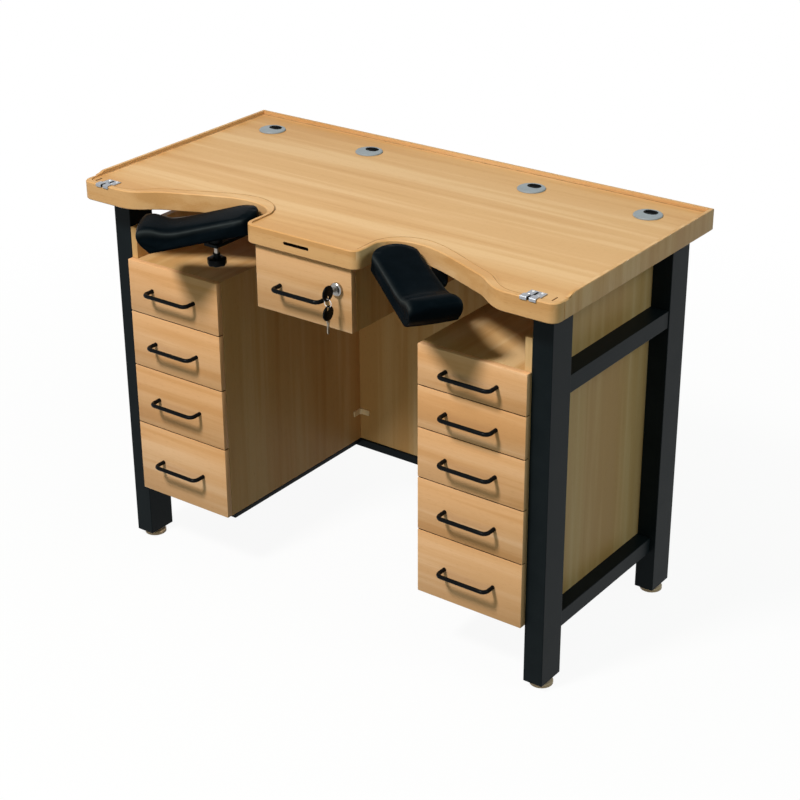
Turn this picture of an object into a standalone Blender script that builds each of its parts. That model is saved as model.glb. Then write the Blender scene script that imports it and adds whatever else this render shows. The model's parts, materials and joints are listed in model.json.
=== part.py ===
"""A watchmaker's bench: a beech worktop with two scooped bays, steel legs, two drawer pedestals,
a centre drawer with a lock, and two padded arm rests on swivel brackets. Metres, +Z up, front towards -Y."""

import math

import bmesh
import bpy
from mathutils import Matrix, Vector

# Clearances
GAP = 0.0003  # between pieces that touch
FRONT_GAP = 0.002  # between neighbouring drawer fronts
SIDE_GAP = 0.001  # between a drawer box and the boards beside it

# Worktop
WORKTOP_WIDTH = 1.200
WORKTOP_DEPTH = 0.610
WORKTOP_THICKNESS = 0.041
SURFACE_HEIGHT = 0.886  # the recessed work surface, above the floor
RECESS_DEPTH = 0.003
LIP_WIDTH = 0.007
LIP_HEIGHT = 0.006
LIP_END_INSET = 0.042  # from the front edge to where the side lips start to rise
LIP_RAMP = 0.026
LIP_TOE = 0.001
CORNER_RADIUS = 0.020
WORKTOP_EDGE = 0.002

# Plan of the front edge, right half; the left half mirrors it
NOSE_HALF_WIDTH = 0.143
NOSE_RADIUS = 0.020
NOSE_SIDE_LENGTH = 0.063
SCOOP_DEPTH = 0.109
SCOOP_MIDDLE_X = 0.216
WING_INSET = 0.110  # from the side edge to where the scoop runs out
SLOPE_RUN = 0.090  # from there back to the end of the long slope
SLOPE_DEPTH = 0.046
SLOPE_GRADIENT = 0.40
NOSE_RIM = 0.007
NOSE_SIDE_RIM = 0.009
SCOOP_RIM = 0.027
WING_RIM = 0.011

# Slot for a bench pin in the nose
PIN_SLOT_LENGTH = 0.065
PIN_SLOT_HEIGHT = 0.007
PIN_SLOT_DEPTH = 0.045
PIN_SLOT_X = -0.008
PIN_SLOT_DROP = 0.021  # below the rim

# Cable grommets
GROMMET_SIDE_INSET = 0.102  # of the outer two, from the side edges
GROMMET_MIDDLE_X = 0.216  # of the inner two
GROMMET_INSET = 0.091  # from the back edge
GROMMET_RADIUS = 0.031
GROMMET_BARREL_RADIUS = 0.027
GROMMET_BARREL_DEPTH = 0.022
GROMMET_FLANGE = 0.003
CABLE_SLOT_LENGTH = 0.027
CABLE_SLOT_WIDTH = 0.016
CABLE_SLOT_SETBACK = 0.013

# Accessory plates at the front corners
PLATE_INSET = 0.0605  # of its middle, from the side edge
PLATE_WIDTH = 0.035
PLATE_LENGTH = 0.040
PLATE_THICKNESS = 0.002
PLATE_SLOT = 0.0055
PLATE_NOSE = 0.0045
PLATE_BRIDGE = 0.004  # joins the prongs at their back

# Steel frame
LEG_WIDTH = 0.045
LEG_DEPTH = 0.071
LEG_WALL = 0.0025
LEG_FLOOR = 0.004
LEG_SIDE_INSET = 0.0365
LEG_FRONT_INSET = 0.054
LEG_BACK_INSET = 0.024
UPPER_RAIL_HEIGHT = 0.038
UPPER_RAIL_DROP = 0.157  # of its top, below the worktop
UPPER_RAIL_RECESS = 0.002
LOWER_RAIL_WIDTH = 0.040
LOWER_RAIL_HEIGHT = 0.036
LOWER_RAIL_TOP = 0.1467
LOWER_RAIL_RECESS = 0.0125
RAIL_WALL = 0.002
BEARER_WIDTH = 0.030
BEARER_HEIGHT = 0.011
BEARER_END = 0.010
REAR_RAIL_HEIGHT = 0.020
REAR_RAIL_DEPTH = 0.040
REAR_RAIL_SETBACK = 0.012

# Levelling feet
FOOT_HEIGHT = 0.014
FOOT_RADIUS = 0.025
FOOT_PAD = 0.008
FOOT_NUT_RADIUS = 0.012
STEM_RADIUS = 0.006
STEM_LENGTH = 0.030

# Panels and pedestals
BOARD = 0.016
KNEE_WIDTH = 0.524
PEDESTAL_DROP = 0.135  # of the pedestal tops, below the worktop
SIDE_PANEL_RISE = 0.070
BACK_PANEL_SETBACK = 0.017
BRACE_ARM = 0.028
BRACE_HEIGHT = 0.014
BRACE_THICKNESS = 0.004
BRACE_RISE = 0.068  # above the underside of the pedestals

# Drawers
FRONT_THICKNESS = 0.015
FRONT_EDGE = 0.0015
LEFT_SHARES = (0.2163, 0.2311, 0.2530)  # of the pedestal's height, from the top; the lowest takes the rest
RIGHT_SHARES = (0.1599, 0.1657, 0.2002, 0.2141)
BOX_SIDE = 0.012
BOX_FLOOR = 0.006
BOX_BACK_GAP = 0.0477  # behind the drawer boxes
BOX_CLEARANCE = 0.003
RUNNER_HEIGHT = 0.012
RUNNER_DEPTH = 0.0065
RUNNER_RISE = 0.016
RUNNER_END_GAP = 0.030  # from the end of a runner to the back of its box

# Centre drawer
CENTRE_WIDTH = 0.246
CENTRE_HEIGHT = 0.139
CENTRE_FRONT_INSET = 0.010  # its face behind the worktop's front edge
CENTRE_TOP_GAP = 0.002
CENTRE_BOX_DEPTH = 0.330
HOUSING_BOARD = 0.012
STRIKE_HEIGHT = 0.022
STRIKE_THICKNESS = 0.008

# Bow handles
HANDLE_SPAN = 0.120
HANDLE_REACH = 0.030
HANDLE_RADIUS = 0.0045
HANDLE_BEND = 0.012
CENTRE_HANDLE_DROP = 0.008

# Lock and keys
LOCK_INSET = 0.0355  # from the right edge of the centre drawer
LOCK_DROP = 0.0497  # from its top edge
LOCK_FACE_RADIUS = 0.014
LOCK_FACE = 0.008
LOCK_BARREL_RADIUS = 0.009
LOCK_BARREL_TAIL = 0.009
PLUG_RADIUS = 0.0055
CAM_LENGTH = 0.042
CAM_WIDTH = 0.014
CAM_THICKNESS = 0.003
KEY_BOW_RADIUS = 0.0162
KEY_BOW_THICKNESS = 0.0032
KEY_HOLE_RADIUS = 0.0042
KEY_RIM = 0.0024
KEY_SHANK = 0.0068
KEY_BLADE_WIDTH = 0.007
KEY_BLADE_THICKNESS = 0.0022
KEY_BLADE_IN = 0.015
SPARE_BLADE = 0.0285
RING_RADIUS = 0.0084
RING_WIRE = 0.0008
RING_GAP = 0.00015

# Arm rests, right side; the left mirrors them
PIVOT_OFFSET = 0.0366  # outwards from the middle of the scoop
PIVOT_INSET = 0.035  # behind the worktop's front edge
PAD_DROP = 0.0533  # of the pad's underside on the pivot's axis, below the rim
PAD_YAW = math.radians(34.2)
PAD_SLOPE = math.radians(12.1)
PAD_OUTER = 0.135  # from the pivot to the outer end
PAD_INNER = 0.100  # from the pivot to the rounded inner end
PAD_INNER_ROUND = 0.044
PAD_WIDTH = 0.108
PAD_INNER_WIDTH = 0.100
PAD_OFFSET = 0.008  # of its middle line from the pivot at the outer end, towards the sitter
PAD_INNER_OFFSET = 0.013  # the same at the inner end
PAD_THICKNESS = 0.033
PAD_CROWN = 0.003
PAD_LIP = 0.019
PAD_LIP_RUN = 0.055
PAD_FLARE = 0.024
PAD_WAIST = 0.003
PAD_END_BOW = 0.004
BRACKET_WIDTH = 0.036
BRACKET_THICKNESS = 0.007
BRACKET_DROP = 0.0297  # of the bracket's underside at the pivot, below the pad
BRACKET_FOOT = 0.110
BRACKET_LAP = 0.016  # of the foot behind the scoop's edge
SPINDLE_RADIUS = 0.005
BOSS_RADIUS = 0.014
BASE_LENGTH = 0.130
BASE_WIDTH = 0.070
BASE_THICKNESS = 0.005
KNOB_RADIUS = 0.021
KNOB_LOBE = 0.002
KNOB_LOBES = 7
KNOB_HEIGHT = 0.016
KNOB_HUB_RADIUS = 0.008
KNOB_HUB_HEIGHT = 0.010
KNOB_DROP = 0.018  # from the bracket's underside to the hub
KNOB_WALL = 0.004

# Heights and faces that follow from the sizes above
RIM_Z = SURFACE_HEIGHT + RECESS_DEPTH
UNDERSIDE_Z = RIM_Z - WORKTOP_THICKNESS
HALF_WIDTH = WORKTOP_WIDTH / 2
FRONT_Y = -WORKTOP_DEPTH / 2
BACK_Y = WORKTOP_DEPTH / 2
LEG_OUTER_X = HALF_WIDTH - LEG_SIDE_INSET
LEG_INNER_X = LEG_OUTER_X - LEG_WIDTH
FRONT_LEG_Y = FRONT_Y + LEG_FRONT_INSET
BACK_LEG_Y = BACK_Y - LEG_BACK_INSET - LEG_DEPTH
PEDESTAL_Z = LOWER_RAIL_TOP + GAP
PEDESTAL_TOP_Z = UNDERSIDE_Z - PEDESTAL_DROP
UPPER_RAIL_TOP = UNDERSIDE_Z - UPPER_RAIL_DROP
PANEL_Y = BACK_LEG_Y + BACK_PANEL_SETBACK
BOARD_BACK_Y = PANEL_Y - GAP
BOARD_FRONT_Y = FRONT_LEG_Y + GAP
FACE_Y = BOARD_FRONT_Y - GAP - FRONT_THICKNESS
BOX_DEPTH = BOARD_BACK_Y - FACE_Y - FRONT_THICKNESS - BOX_BACK_GAP
KNEE_X = KNEE_WIDTH / 2
PANEL_OUTER_X = LEG_INNER_X - GAP
PANEL_INNER_X = PANEL_OUTER_X - BOARD
CENTRE_FACE_Y = FRONT_Y + CENTRE_FRONT_INSET
CENTRE_TOP_Z = UNDERSIDE_Z - CENTRE_TOP_GAP
CENTRE_BOTTOM = CENTRE_TOP_Z - CENTRE_HEIGHT
LOCK_X = CENTRE_WIDTH / 2 - LOCK_INSET
LOCK_Z = CENTRE_TOP_Z - LOCK_DROP
HOUSING_TOP_Z = UNDERSIDE_Z - GAP
HOUSING_X = CENTRE_WIDTH / 2
HOUSING_FRONT_Y = CENTRE_FACE_Y + FRONT_THICKNESS + GAP
PIVOT_X = SCOOP_MIDDLE_X + PIVOT_OFFSET
PIVOT_Y = FRONT_Y + PIVOT_INSET
PAD_HEIGHT = RIM_Z - PAD_DROP
BRACKET_EYE_Z = PAD_HEIGHT - BRACKET_DROP
PLATE_X = HALF_WIDTH - PLATE_INSET
WING_X = HALF_WIDTH - WING_INSET
SLOPE_X = WING_X - SLOPE_RUN
GROMMET_OUTER_X = HALF_WIDTH - GROMMET_SIDE_INSET
GROMMET_XS = (-GROMMET_OUTER_X, -GROMMET_MIDDLE_X, GROMMET_MIDDLE_X, GROMMET_OUTER_X)
OVERLAP = 0.002  # of solids that a Boolean joins
REACH = 0.010  # of a cutter past the wall that it goes through
ARC_STEPS = 10

SIDES = {"left": -1, "right": 1}


def clear_scene():
    for old in list(bpy.data.objects):
        bpy.data.objects.remove(old, do_unlink=True)


def new_collection(name):
    made = bpy.data.collections.new(name)
    bpy.context.scene.collection.children.link(made)
    return made


def principled(name, colour, roughness, metallic=0.0):
    made = bpy.data.materials.new(name)
    made.use_nodes = True
    shader = made.node_tree.nodes["Principled BSDF"]
    shader.inputs["Base Color"].default_value = (*colour, 1.0)
    shader.inputs["Roughness"].default_value = roughness
    shader.inputs["Metallic"].default_value = metallic
    return made


clear_scene()
PARTS = new_collection("watchmakers_bench")
CUTTERS = new_collection("bench_cutters")
ORIGIN = bpy.data.objects.new("bench_origin", None)
PARTS.objects.link(ORIGIN)

BEECH = principled("beech", (0.72, 0.47, 0.22), 0.45)
BEECH_FRONT = principled("beech_front", (0.66, 0.40, 0.17), 0.45)
BEECH_PANEL = principled("beech_panel", (0.60, 0.37, 0.16), 0.5)
BLACK_STEEL = principled("black_steel", (0.012, 0.014, 0.016), 0.4, 0.3)
BLACK_LACQUER = principled("black_lacquer", (0.01, 0.011, 0.012), 0.25, 0.2)
BRIGHT_STEEL = principled("bright_steel", (0.62, 0.62, 0.62), 0.25, 1.0)
GREY_PLASTIC = principled("grey_plastic", (0.36, 0.39, 0.41), 0.45)
FOOT_PLASTIC = principled("foot_plastic", (0.35, 0.26, 0.15), 0.6)
BRACE_PLASTIC = principled("brace_plastic", (0.45, 0.33, 0.2), 0.55)
BLACK_PLASTIC = principled("black_plastic", (0.012, 0.013, 0.015), 0.4)
LEATHERETTE = principled("leatherette", (0.008, 0.009, 0.012), 0.42)


def place(obj, material, parent=None):
    """Puts a piece in the bench's collection, under the origin or a pivot, with its finish."""
    PARTS.objects.link(obj)
    obj.parent = parent or ORIGIN
    if obj.data is not None:
        obj.data.materials.clear()
        obj.data.materials.append(material)
    return obj


def helper(obj, parent=None):
    CUTTERS.objects.link(obj)
    obj.parent = parent or ORIGIN
    obj.hide_render = True
    obj.display_type = "WIRE"
    return obj


def box_object(name, *spans):
    """One mesh of plain boxes, each given by two opposite corners."""
    mesh = bpy.data.meshes.new(name)
    shape = bmesh.new()
    for first, second in spans:
        low = Vector(map(min, first, second))
        high = Vector(map(max, first, second))
        size = Matrix.Diagonal((*(high - low), 1.0))
        bmesh.ops.create_cube(shape, size=1.0, matrix=Matrix.Translation((low + high) / 2) @ size)
    shape.to_mesh(mesh)
    shape.free()
    return bpy.data.objects.new(name, mesh)


def cylinder_object(name, radius, low, high, sides=24):
    """An upright cylinder between two heights, about its own Z axis."""
    mesh = bpy.data.meshes.new(name)
    shape = bmesh.new()
    middle = Matrix.Translation((0, 0, (low + high) / 2))
    bmesh.ops.create_cone(
        shape, cap_ends=True, segments=sides, radius1=radius, radius2=radius, depth=high - low, matrix=middle
    )
    shape.to_mesh(mesh)
    shape.free()
    return bpy.data.objects.new(name, mesh)


def solid_of(curve_object):
    """The closed mesh of a curve object, which can then be cut and joined."""
    bpy.context.scene.collection.objects.link(curve_object)
    bpy.context.view_layer.update()
    graph = bpy.context.evaluated_depsgraph_get()
    mesh = bpy.data.meshes.new_from_object(curve_object.evaluated_get(graph))
    shape = bmesh.new()
    shape.from_mesh(mesh)
    bmesh.ops.remove_doubles(shape, verts=shape.verts, dist=1e-6)
    bmesh.ops.dissolve_limit(shape, angle_limit=0.001, verts=shape.verts, edges=shape.edges)
    bmesh.ops.recalc_face_normals(shape, faces=shape.faces)
    shape.to_mesh(mesh)
    shape.free()
    name = curve_object.name
    matrix = curve_object.matrix_world.copy()
    bpy.data.objects.remove(curve_object)
    made = bpy.data.objects.new(name, mesh)
    made.matrix_world = matrix
    return made


def sheet_object(name, outline, thickness):
    """A flat closed outline in XY given a thickness along Z, centred on Z = 0."""
    curve = bpy.data.curves.new(name, "CURVE")
    curve.dimensions = "2D"
    curve.fill_mode = "BOTH"
    curve.extrude = thickness / 2
    spline = curve.splines.new("POLY")
    spline.points.add(len(outline) - 1)
    for point, (x, y) in zip(spline.points, outline):
        point.co = (x, y, 0.0, 1.0)
    spline.use_cyclic_u = True
    return solid_of(bpy.data.objects.new(name, curve))


def side_profile_object(name, outline, low_x, high_x):
    """An outline of (y, z) points, seen from the side, given its width along X."""
    made = sheet_object(name, outline, high_x - low_x)
    made.rotation_euler = (math.pi / 2, 0, math.pi / 2)
    made.location.x = (low_x + high_x) / 2
    return made


def wire_object(name, points, radius, closed=False, resolution=2):
    """A round bar along a run of points."""
    curve = bpy.data.curves.new(name, "CURVE")
    curve.dimensions = "3D"
    curve.bevel_depth = radius
    curve.bevel_resolution = resolution
    curve.use_fill_caps = True
    spline = curve.splines.new("POLY")
    spline.points.add(len(points) - 1)
    for point, place_at in zip(spline.points, points):
        point.co = (*place_at, 1.0)
    spline.use_cyclic_u = closed
    return bpy.data.objects.new(name, curve)


def turned_object(name, profile, steps=24):
    """A turned piece about Z from (radius, height) points that run down its outer side."""
    mesh = bpy.data.meshes.new(name)
    points = [(radius, 0.0, height) for radius, height in profile]
    mesh.from_pydata(points, [(i, i + 1) for i in range(len(points) - 1)], [])
    made = bpy.data.objects.new(name, mesh)
    screw = made.modifiers.new("turn", "SCREW")
    screw.steps = steps
    screw.render_steps = steps
    screw.use_merge_vertices = True
    screw.merge_threshold = 1e-5
    screw.use_smooth_shade = True
    return made


def boolean(target, other, operation):
    made = target.modifiers.new(other.name, "BOOLEAN")
    made.operation = operation
    made.solver = "EXACT"
    made.object = other


def cut(target, cutter, parent=None):
    helper(cutter, parent)
    boolean(target, cutter, "DIFFERENCE")


def join(target, other, parent=None):
    helper(other, parent)
    boolean(target, other, "UNION")


def round_edges(target, width, segments=2):
    made = target.modifiers.new("edges", "BEVEL")
    made.width = width
    made.segments = segments
    made.limit_method = "ANGLE"
    made.angle_limit = math.radians(40)


def smooth(obj, angle=35):
    obj.data.shade_smooth()
    obj.data.set_sharp_from_angle(angle=math.radians(angle))


def arc(centre, radii, start, end, steps=ARC_STEPS):
    """Points on an ellipse's arc, angles in degrees."""
    points = []
    for i in range(steps + 1):
        angle = math.radians(start + (end - start) * i / steps)
        points.append((centre[0] + radii[0] * math.cos(angle), centre[1] + radii[1] * math.sin(angle)))
    return points


def bezier(start, start_handle, end_handle, end, steps=ARC_STEPS):
    points = []
    for i in range(steps + 1):
        t = i / steps
        s = 1 - t
        weights = (s**3, 3 * s * s * t, 3 * s * t * t, t**3)
        corners = (start, start_handle, end_handle, end)
        points.append(tuple(sum(w * c[k] for w, c in zip(weights, corners)) for k in (0, 1)))
    return points


def mirrored(half):
    """A closed outline from its right half, which starts and ends on X = 0."""
    left = [(-x, y) for x, y in reversed(half[1:-1])]
    return half + left


def worktop_half(nose_rim, nose_side_rim, scoop_rim, wing_rim, edge_rim, nose_radius, corner_radius):
    """Right half of the worktop's plan, drawn in by a rim of the given widths."""
    nose_x = NOSE_HALF_WIDTH - nose_side_rim
    nose_y = FRONT_Y + nose_rim
    side_end_y = FRONT_Y + NOSE_SIDE_LENGTH
    deep_y = FRONT_Y + SCOOP_DEPTH + scoop_rim
    slope = (SLOPE_X + SLOPE_GRADIENT * scoop_rim, FRONT_Y + SLOPE_DEPTH + scoop_rim)
    wing_x = WING_X + wing_rim
    wing_y = FRONT_Y + wing_rim
    side_x = HALF_WIDTH - edge_rim
    back_y = BACK_Y - edge_rim
    scoop_run = slope[0] - SCOOP_MIDDLE_X
    wing_run = wing_x - slope[0]
    lead_in = (slope[0] - scoop_run * 0.38, slope[1] + scoop_run * 0.38 * SLOPE_GRADIENT)
    lead_out = (slope[0] + wing_run * 0.33, slope[1] - wing_run * 0.33 * SLOPE_GRADIENT)
    half = [(0.0, nose_y)]
    half += arc((nose_x - nose_radius, nose_y + nose_radius), (nose_radius,) * 2, -90, 0, 6)
    half += arc((SCOOP_MIDDLE_X, side_end_y), (SCOOP_MIDDLE_X - nose_x, deep_y - side_end_y), 180, 90)
    half += bezier(half[-1], (SCOOP_MIDDLE_X + scoop_run * 0.28, deep_y), lead_in, slope)[1:]
    half += bezier(slope, lead_out, (wing_x - wing_run * 0.45, wing_y), (wing_x, wing_y))[1:]
    half += arc((side_x - corner_radius, wing_y + corner_radius), (corner_radius,) * 2, -90, 0, 6)
    half += [(side_x, back_y), (0.0, back_y)]
    return half


def make_worktop():
    outline = mirrored(worktop_half(0, 0, 0, 0, 0, NOSE_RADIUS, CORNER_RADIUS))
    top = sheet_object("worktop", outline, WORKTOP_THICKNESS)
    top.location.z = RIM_Z - WORKTOP_THICKNESS / 2
    place(top, BEECH)
    round_edges(top, WORKTOP_EDGE, 1)
    inner_radius = NOSE_RADIUS - NOSE_RIM
    field = worktop_half(
        NOSE_RIM, NOSE_SIDE_RIM, SCOOP_RIM, WING_RIM, LIP_WIDTH, inner_radius, CORNER_RADIUS
    )
    recess = sheet_object("worktop_recess", mirrored(field), RECESS_DEPTH + REACH)
    recess.location.z = SURFACE_HEIGHT + (RECESS_DEPTH + REACH) / 2
    cut(top, recess)
    end_radius = PIN_SLOT_HEIGHT / 2
    straight = PIN_SLOT_LENGTH / 2 - end_radius
    slot_outline = arc((straight, 0), (end_radius,) * 2, -90, 90, 6)
    slot_outline += arc((-straight, 0), (end_radius,) * 2, 90, 270, 6)
    slot = sheet_object("pin_slot", slot_outline, PIN_SLOT_DEPTH + REACH)
    slot.rotation_euler.x = math.pi / 2
    slot.location = (PIN_SLOT_X, FRONT_Y + (PIN_SLOT_DEPTH - REACH) / 2, RIM_Z - PIN_SLOT_DROP)
    cut(top, slot)
    for number, x in enumerate(GROMMET_XS, 1):
        hole = cylinder_object(
            f"grommet_hole_{number}", GROMMET_BARREL_RADIUS + GAP, UNDERSIDE_Z - REACH, RIM_Z + REACH
        )
        hole.location = (x, BACK_Y - GROMMET_INSET, 0)
        cut(top, hole)


def make_lip():
    """The raised strip along the back and both sides of the worktop, ramped down at its front ends."""
    low = RIM_Z + GAP
    high = RIM_Z + LIP_HEIGHT
    start = FRONT_Y + LIP_END_INSET
    ramp_end = start + LIP_RAMP
    toe = low + LIP_TOE
    ramp = bezier((start, toe), (start + LIP_RAMP / 2, toe), (start + LIP_RAMP / 2, high), (ramp_end, high))
    side = [(BACK_Y, high), (BACK_Y, low), (start, low)] + ramp
    lip = box_object(
        "lip_rail",
        ((-HALF_WIDTH + OVERLAP, BACK_Y - LIP_WIDTH, low), (HALF_WIDTH - OVERLAP, BACK_Y, high)),
    )
    place(lip, BEECH)
    for name, sign in SIDES.items():
        edges = sorted((sign * HALF_WIDTH, sign * (HALF_WIDTH - LIP_WIDTH)))
        join(lip, side_profile_object(f"lip_{name}", side, *edges))


def make_grommets():
    low = SURFACE_HEIGHT - GROMMET_BARREL_DEPTH
    rest = SURFACE_HEIGHT + GAP
    crown = rest + GROMMET_FLANGE
    edge = GROMMET_FLANGE / 2
    profile = [
        (0, crown),
        (GROMMET_RADIUS - edge, crown),
        (GROMMET_RADIUS, crown - edge),
        (GROMMET_RADIUS, rest),
        (GROMMET_BARREL_RADIUS, rest),
        (GROMMET_BARREL_RADIUS, low),
        (0, low),
    ]
    end_radius = CABLE_SLOT_WIDTH / 2
    straight = (CABLE_SLOT_LENGTH - CABLE_SLOT_WIDTH) / 2
    outline = arc((straight, 0), (end_radius,) * 2, -90, 90, 6)
    outline += arc((-straight, 0), (end_radius,) * 2, 90, 270, 6)
    for number, x in enumerate(GROMMET_XS, 1):
        grommet = turned_object(f"cable_grommet_{number}", profile)
        grommet.location = (x, BACK_Y - GROMMET_INSET, 0)
        place(grommet, GREY_PLASTIC)
        slot = sheet_object(f"cable_slot_{number}", outline, crown - low + 2 * REACH)
        slot.location = (x, BACK_Y - GROMMET_INSET + CABLE_SLOT_SETBACK, (crown + low) / 2)
        cut(grommet, slot)


def make_plates():
    """Accessory plates of two prongs, which lie on the surface, step over the rim and wrap its edge."""
    rest = SURFACE_HEIGHT + GAP
    ledge = RIM_Z + GAP
    step_y = FRONT_Y + WING_RIM + GAP
    nose_y = FRONT_Y - GAP
    back_y = nose_y + PLATE_LENGTH
    thick = PLATE_THICKNESS
    bend_drop = thick / 4
    profile = [
        (back_y, rest),
        (back_y, rest + thick),
        (step_y + thick, rest + thick),
        (step_y + thick, ledge + thick),
        *arc((nose_y, ledge - bend_drop), (thick, thick + bend_drop), 90, 180, 4),
        (nose_y - thick, RIM_Z - PLATE_NOSE),
        (nose_y, RIM_Z - PLATE_NOSE),
        (nose_y, ledge),
        (step_y, ledge),
        (step_y, rest),
    ]
    for name, sign in SIDES.items():
        middle = sign * PLATE_X
        plate = side_profile_object(
            f"{name}_accessory_plate", profile, middle - PLATE_WIDTH / 2, middle + PLATE_WIDTH / 2
        )
        place(plate, BRIGHT_STEEL)
        slot = box_object(
            f"{name}_plate_slot",
            (
                (middle - PLATE_SLOT / 2, nose_y - thick - REACH, RIM_Z - PLATE_NOSE - REACH),
                (middle + PLATE_SLOT / 2, back_y - PLATE_BRIDGE, ledge + thick + REACH),
            ),
        )
        cut(plate, slot)


def hollow_tube(name, low, high, wall, along, material, floor=0.0):
    """A square steel tube along X, Y or Z. A floor closes its low end."""
    tube = box_object(name, (low, high))
    place(tube, material)
    inner_low = [value + wall for value in low]
    inner_high = [value - wall for value in high]
    inner_low[along] = low[along] + floor if floor else low[along] - REACH
    inner_high[along] = high[along] + REACH
    cut(tube, box_object(f"{name}_bore", (inner_low, inner_high)))
    return tube


def make_legs():
    starts = {"front": FRONT_LEG_Y, "back": BACK_LEG_Y}
    foot_profile = [
        (0, FOOT_HEIGHT + STEM_LENGTH),
        (STEM_RADIUS, FOOT_HEIGHT + STEM_LENGTH),
        (STEM_RADIUS, FOOT_HEIGHT - GAP),
        (FOOT_NUT_RADIUS, FOOT_HEIGHT - GAP),
        (FOOT_NUT_RADIUS, FOOT_PAD),
        (FOOT_RADIUS - FOOT_PAD / 4, FOOT_PAD),
        (FOOT_RADIUS, FOOT_PAD * 3 / 4),
        (FOOT_RADIUS, 0),
        (0, 0),
    ]
    for end, y in starts.items():
        for name, sign in SIDES.items():
            low = (min(sign * LEG_INNER_X, sign * LEG_OUTER_X), y, FOOT_HEIGHT)
            high = (low[0] + LEG_WIDTH, y + LEG_DEPTH, UNDERSIDE_Z - GAP)
            leg = hollow_tube(f"{end}_{name}_leg", low, high, LEG_WALL, 2, BLACK_STEEL, LEG_FLOOR)
            middle = (low[0] + LEG_WIDTH / 2, y + LEG_DEPTH / 2, 0)
            hole = cylinder_object(
                f"{end}_{name}_stem_hole",
                STEM_RADIUS + GAP,
                FOOT_HEIGHT - REACH,
                FOOT_HEIGHT + LEG_FLOOR + REACH,
                20,
            )
            hole.location = middle
            cut(leg, hole)
            foot = turned_object(f"{end}_{name}_foot", foot_profile, 20)
            foot.location = middle
            place(foot, FOOT_PLASTIC)


def make_rails():
    """Side rails between the legs, the welded pedestal bearers and the rear rail."""
    rail_front = FRONT_LEG_Y + LEG_DEPTH + GAP
    rail_back = BACK_LEG_Y - GAP
    rear_y = BACK_LEG_Y + REAR_RAIL_SETBACK
    for name, sign in SIDES.items():
        upper_outer = LEG_OUTER_X - UPPER_RAIL_RECESS
        edges = sorted((sign * LEG_INNER_X, sign * upper_outer))
        hollow_tube(
            f"{name}_upper_side_rail",
            (edges[0], rail_front, UPPER_RAIL_TOP - UPPER_RAIL_HEIGHT),
            (edges[1], rail_back, UPPER_RAIL_TOP),
            RAIL_WALL,
            1,
            BLACK_STEEL,
        )
        outer = LEG_OUTER_X - LOWER_RAIL_RECESS
        inner = outer - LOWER_RAIL_WIDTH
        edges = sorted((sign * inner, sign * outer))
        frame = hollow_tube(
            f"{name}_lower_frame",
            (edges[0], rail_front, LOWER_RAIL_TOP - LOWER_RAIL_HEIGHT),
            (edges[1], rail_back, LOWER_RAIL_TOP),
            RAIL_WALL,
            1,
            BLACK_STEEL,
        )
        low_z = LOWER_RAIL_TOP - BEARER_HEIGHT
        bearer_front = BOARD_FRONT_Y + BEARER_END
        bearer_back = rear_y - GAP
        bearer_inner = KNEE_X + BEARER_WIDTH
        bar_start = sign * (bearer_inner - OVERLAP)
        bar_end = sign * (inner + RAIL_WALL / 2)
        bars = [
            ((bar_start, y, low_z), (bar_end, y + BEARER_WIDTH, LOWER_RAIL_TOP))
            for y in (rail_front + OVERLAP, rail_back - OVERLAP - BEARER_WIDTH)
        ]
        join(frame, box_object(f"{name}_crossbars", *bars))
        bearer = ((sign * KNEE_X, bearer_front, low_z), (sign * bearer_inner, bearer_back, LOWER_RAIL_TOP))
        join(frame, box_object(f"{name}_bearer", bearer))
    hollow_tube(
        "rear_rail",
        (-LEG_INNER_X + GAP, rear_y, LOWER_RAIL_TOP - REAR_RAIL_HEIGHT),
        (LEG_INNER_X - GAP, rear_y + REAR_RAIL_DEPTH, LOWER_RAIL_TOP),
        RAIL_WALL,
        0,
        BLACK_STEEL,
    )


def front_levels(shares):
    """Top and bottom of each drawer front in a pedestal, from the top down."""
    tops = [PEDESTAL_TOP_Z]
    for share in shares:
        tops.append(tops[-1] - share * (PEDESTAL_TOP_Z - PEDESTAL_Z))
    bottoms = tops[1:] + [PEDESTAL_Z - FRONT_GAP]
    return [(bottom + FRONT_GAP, top) for top, bottom in zip(tops, bottoms)]


def box_levels(front):
    """Floor and top of the drawer box behind a front, clear of the boards that the front covers."""
    return front[0] + BOARD + BOX_CLEARANCE, front[1] - BOARD - BOX_CLEARANCE


PEDESTALS = {"left": front_levels(LEFT_SHARES), "right": front_levels(RIGHT_SHARES)}


def runner_spans(face_x, inward, floors, front_y, depth):
    """Runner strips on a board's face, one for each drawer box of the given depth."""
    end_y = front_y + depth - RUNNER_END_GAP
    return [
        (
            (face_x - inward * OVERLAP, front_y + BOX_SIDE, floor + RUNNER_RISE),
            (face_x + inward * RUNNER_DEPTH, end_y, floor + RUNNER_RISE + RUNNER_HEIGHT),
        )
        for floor in floors
    ]


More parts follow.
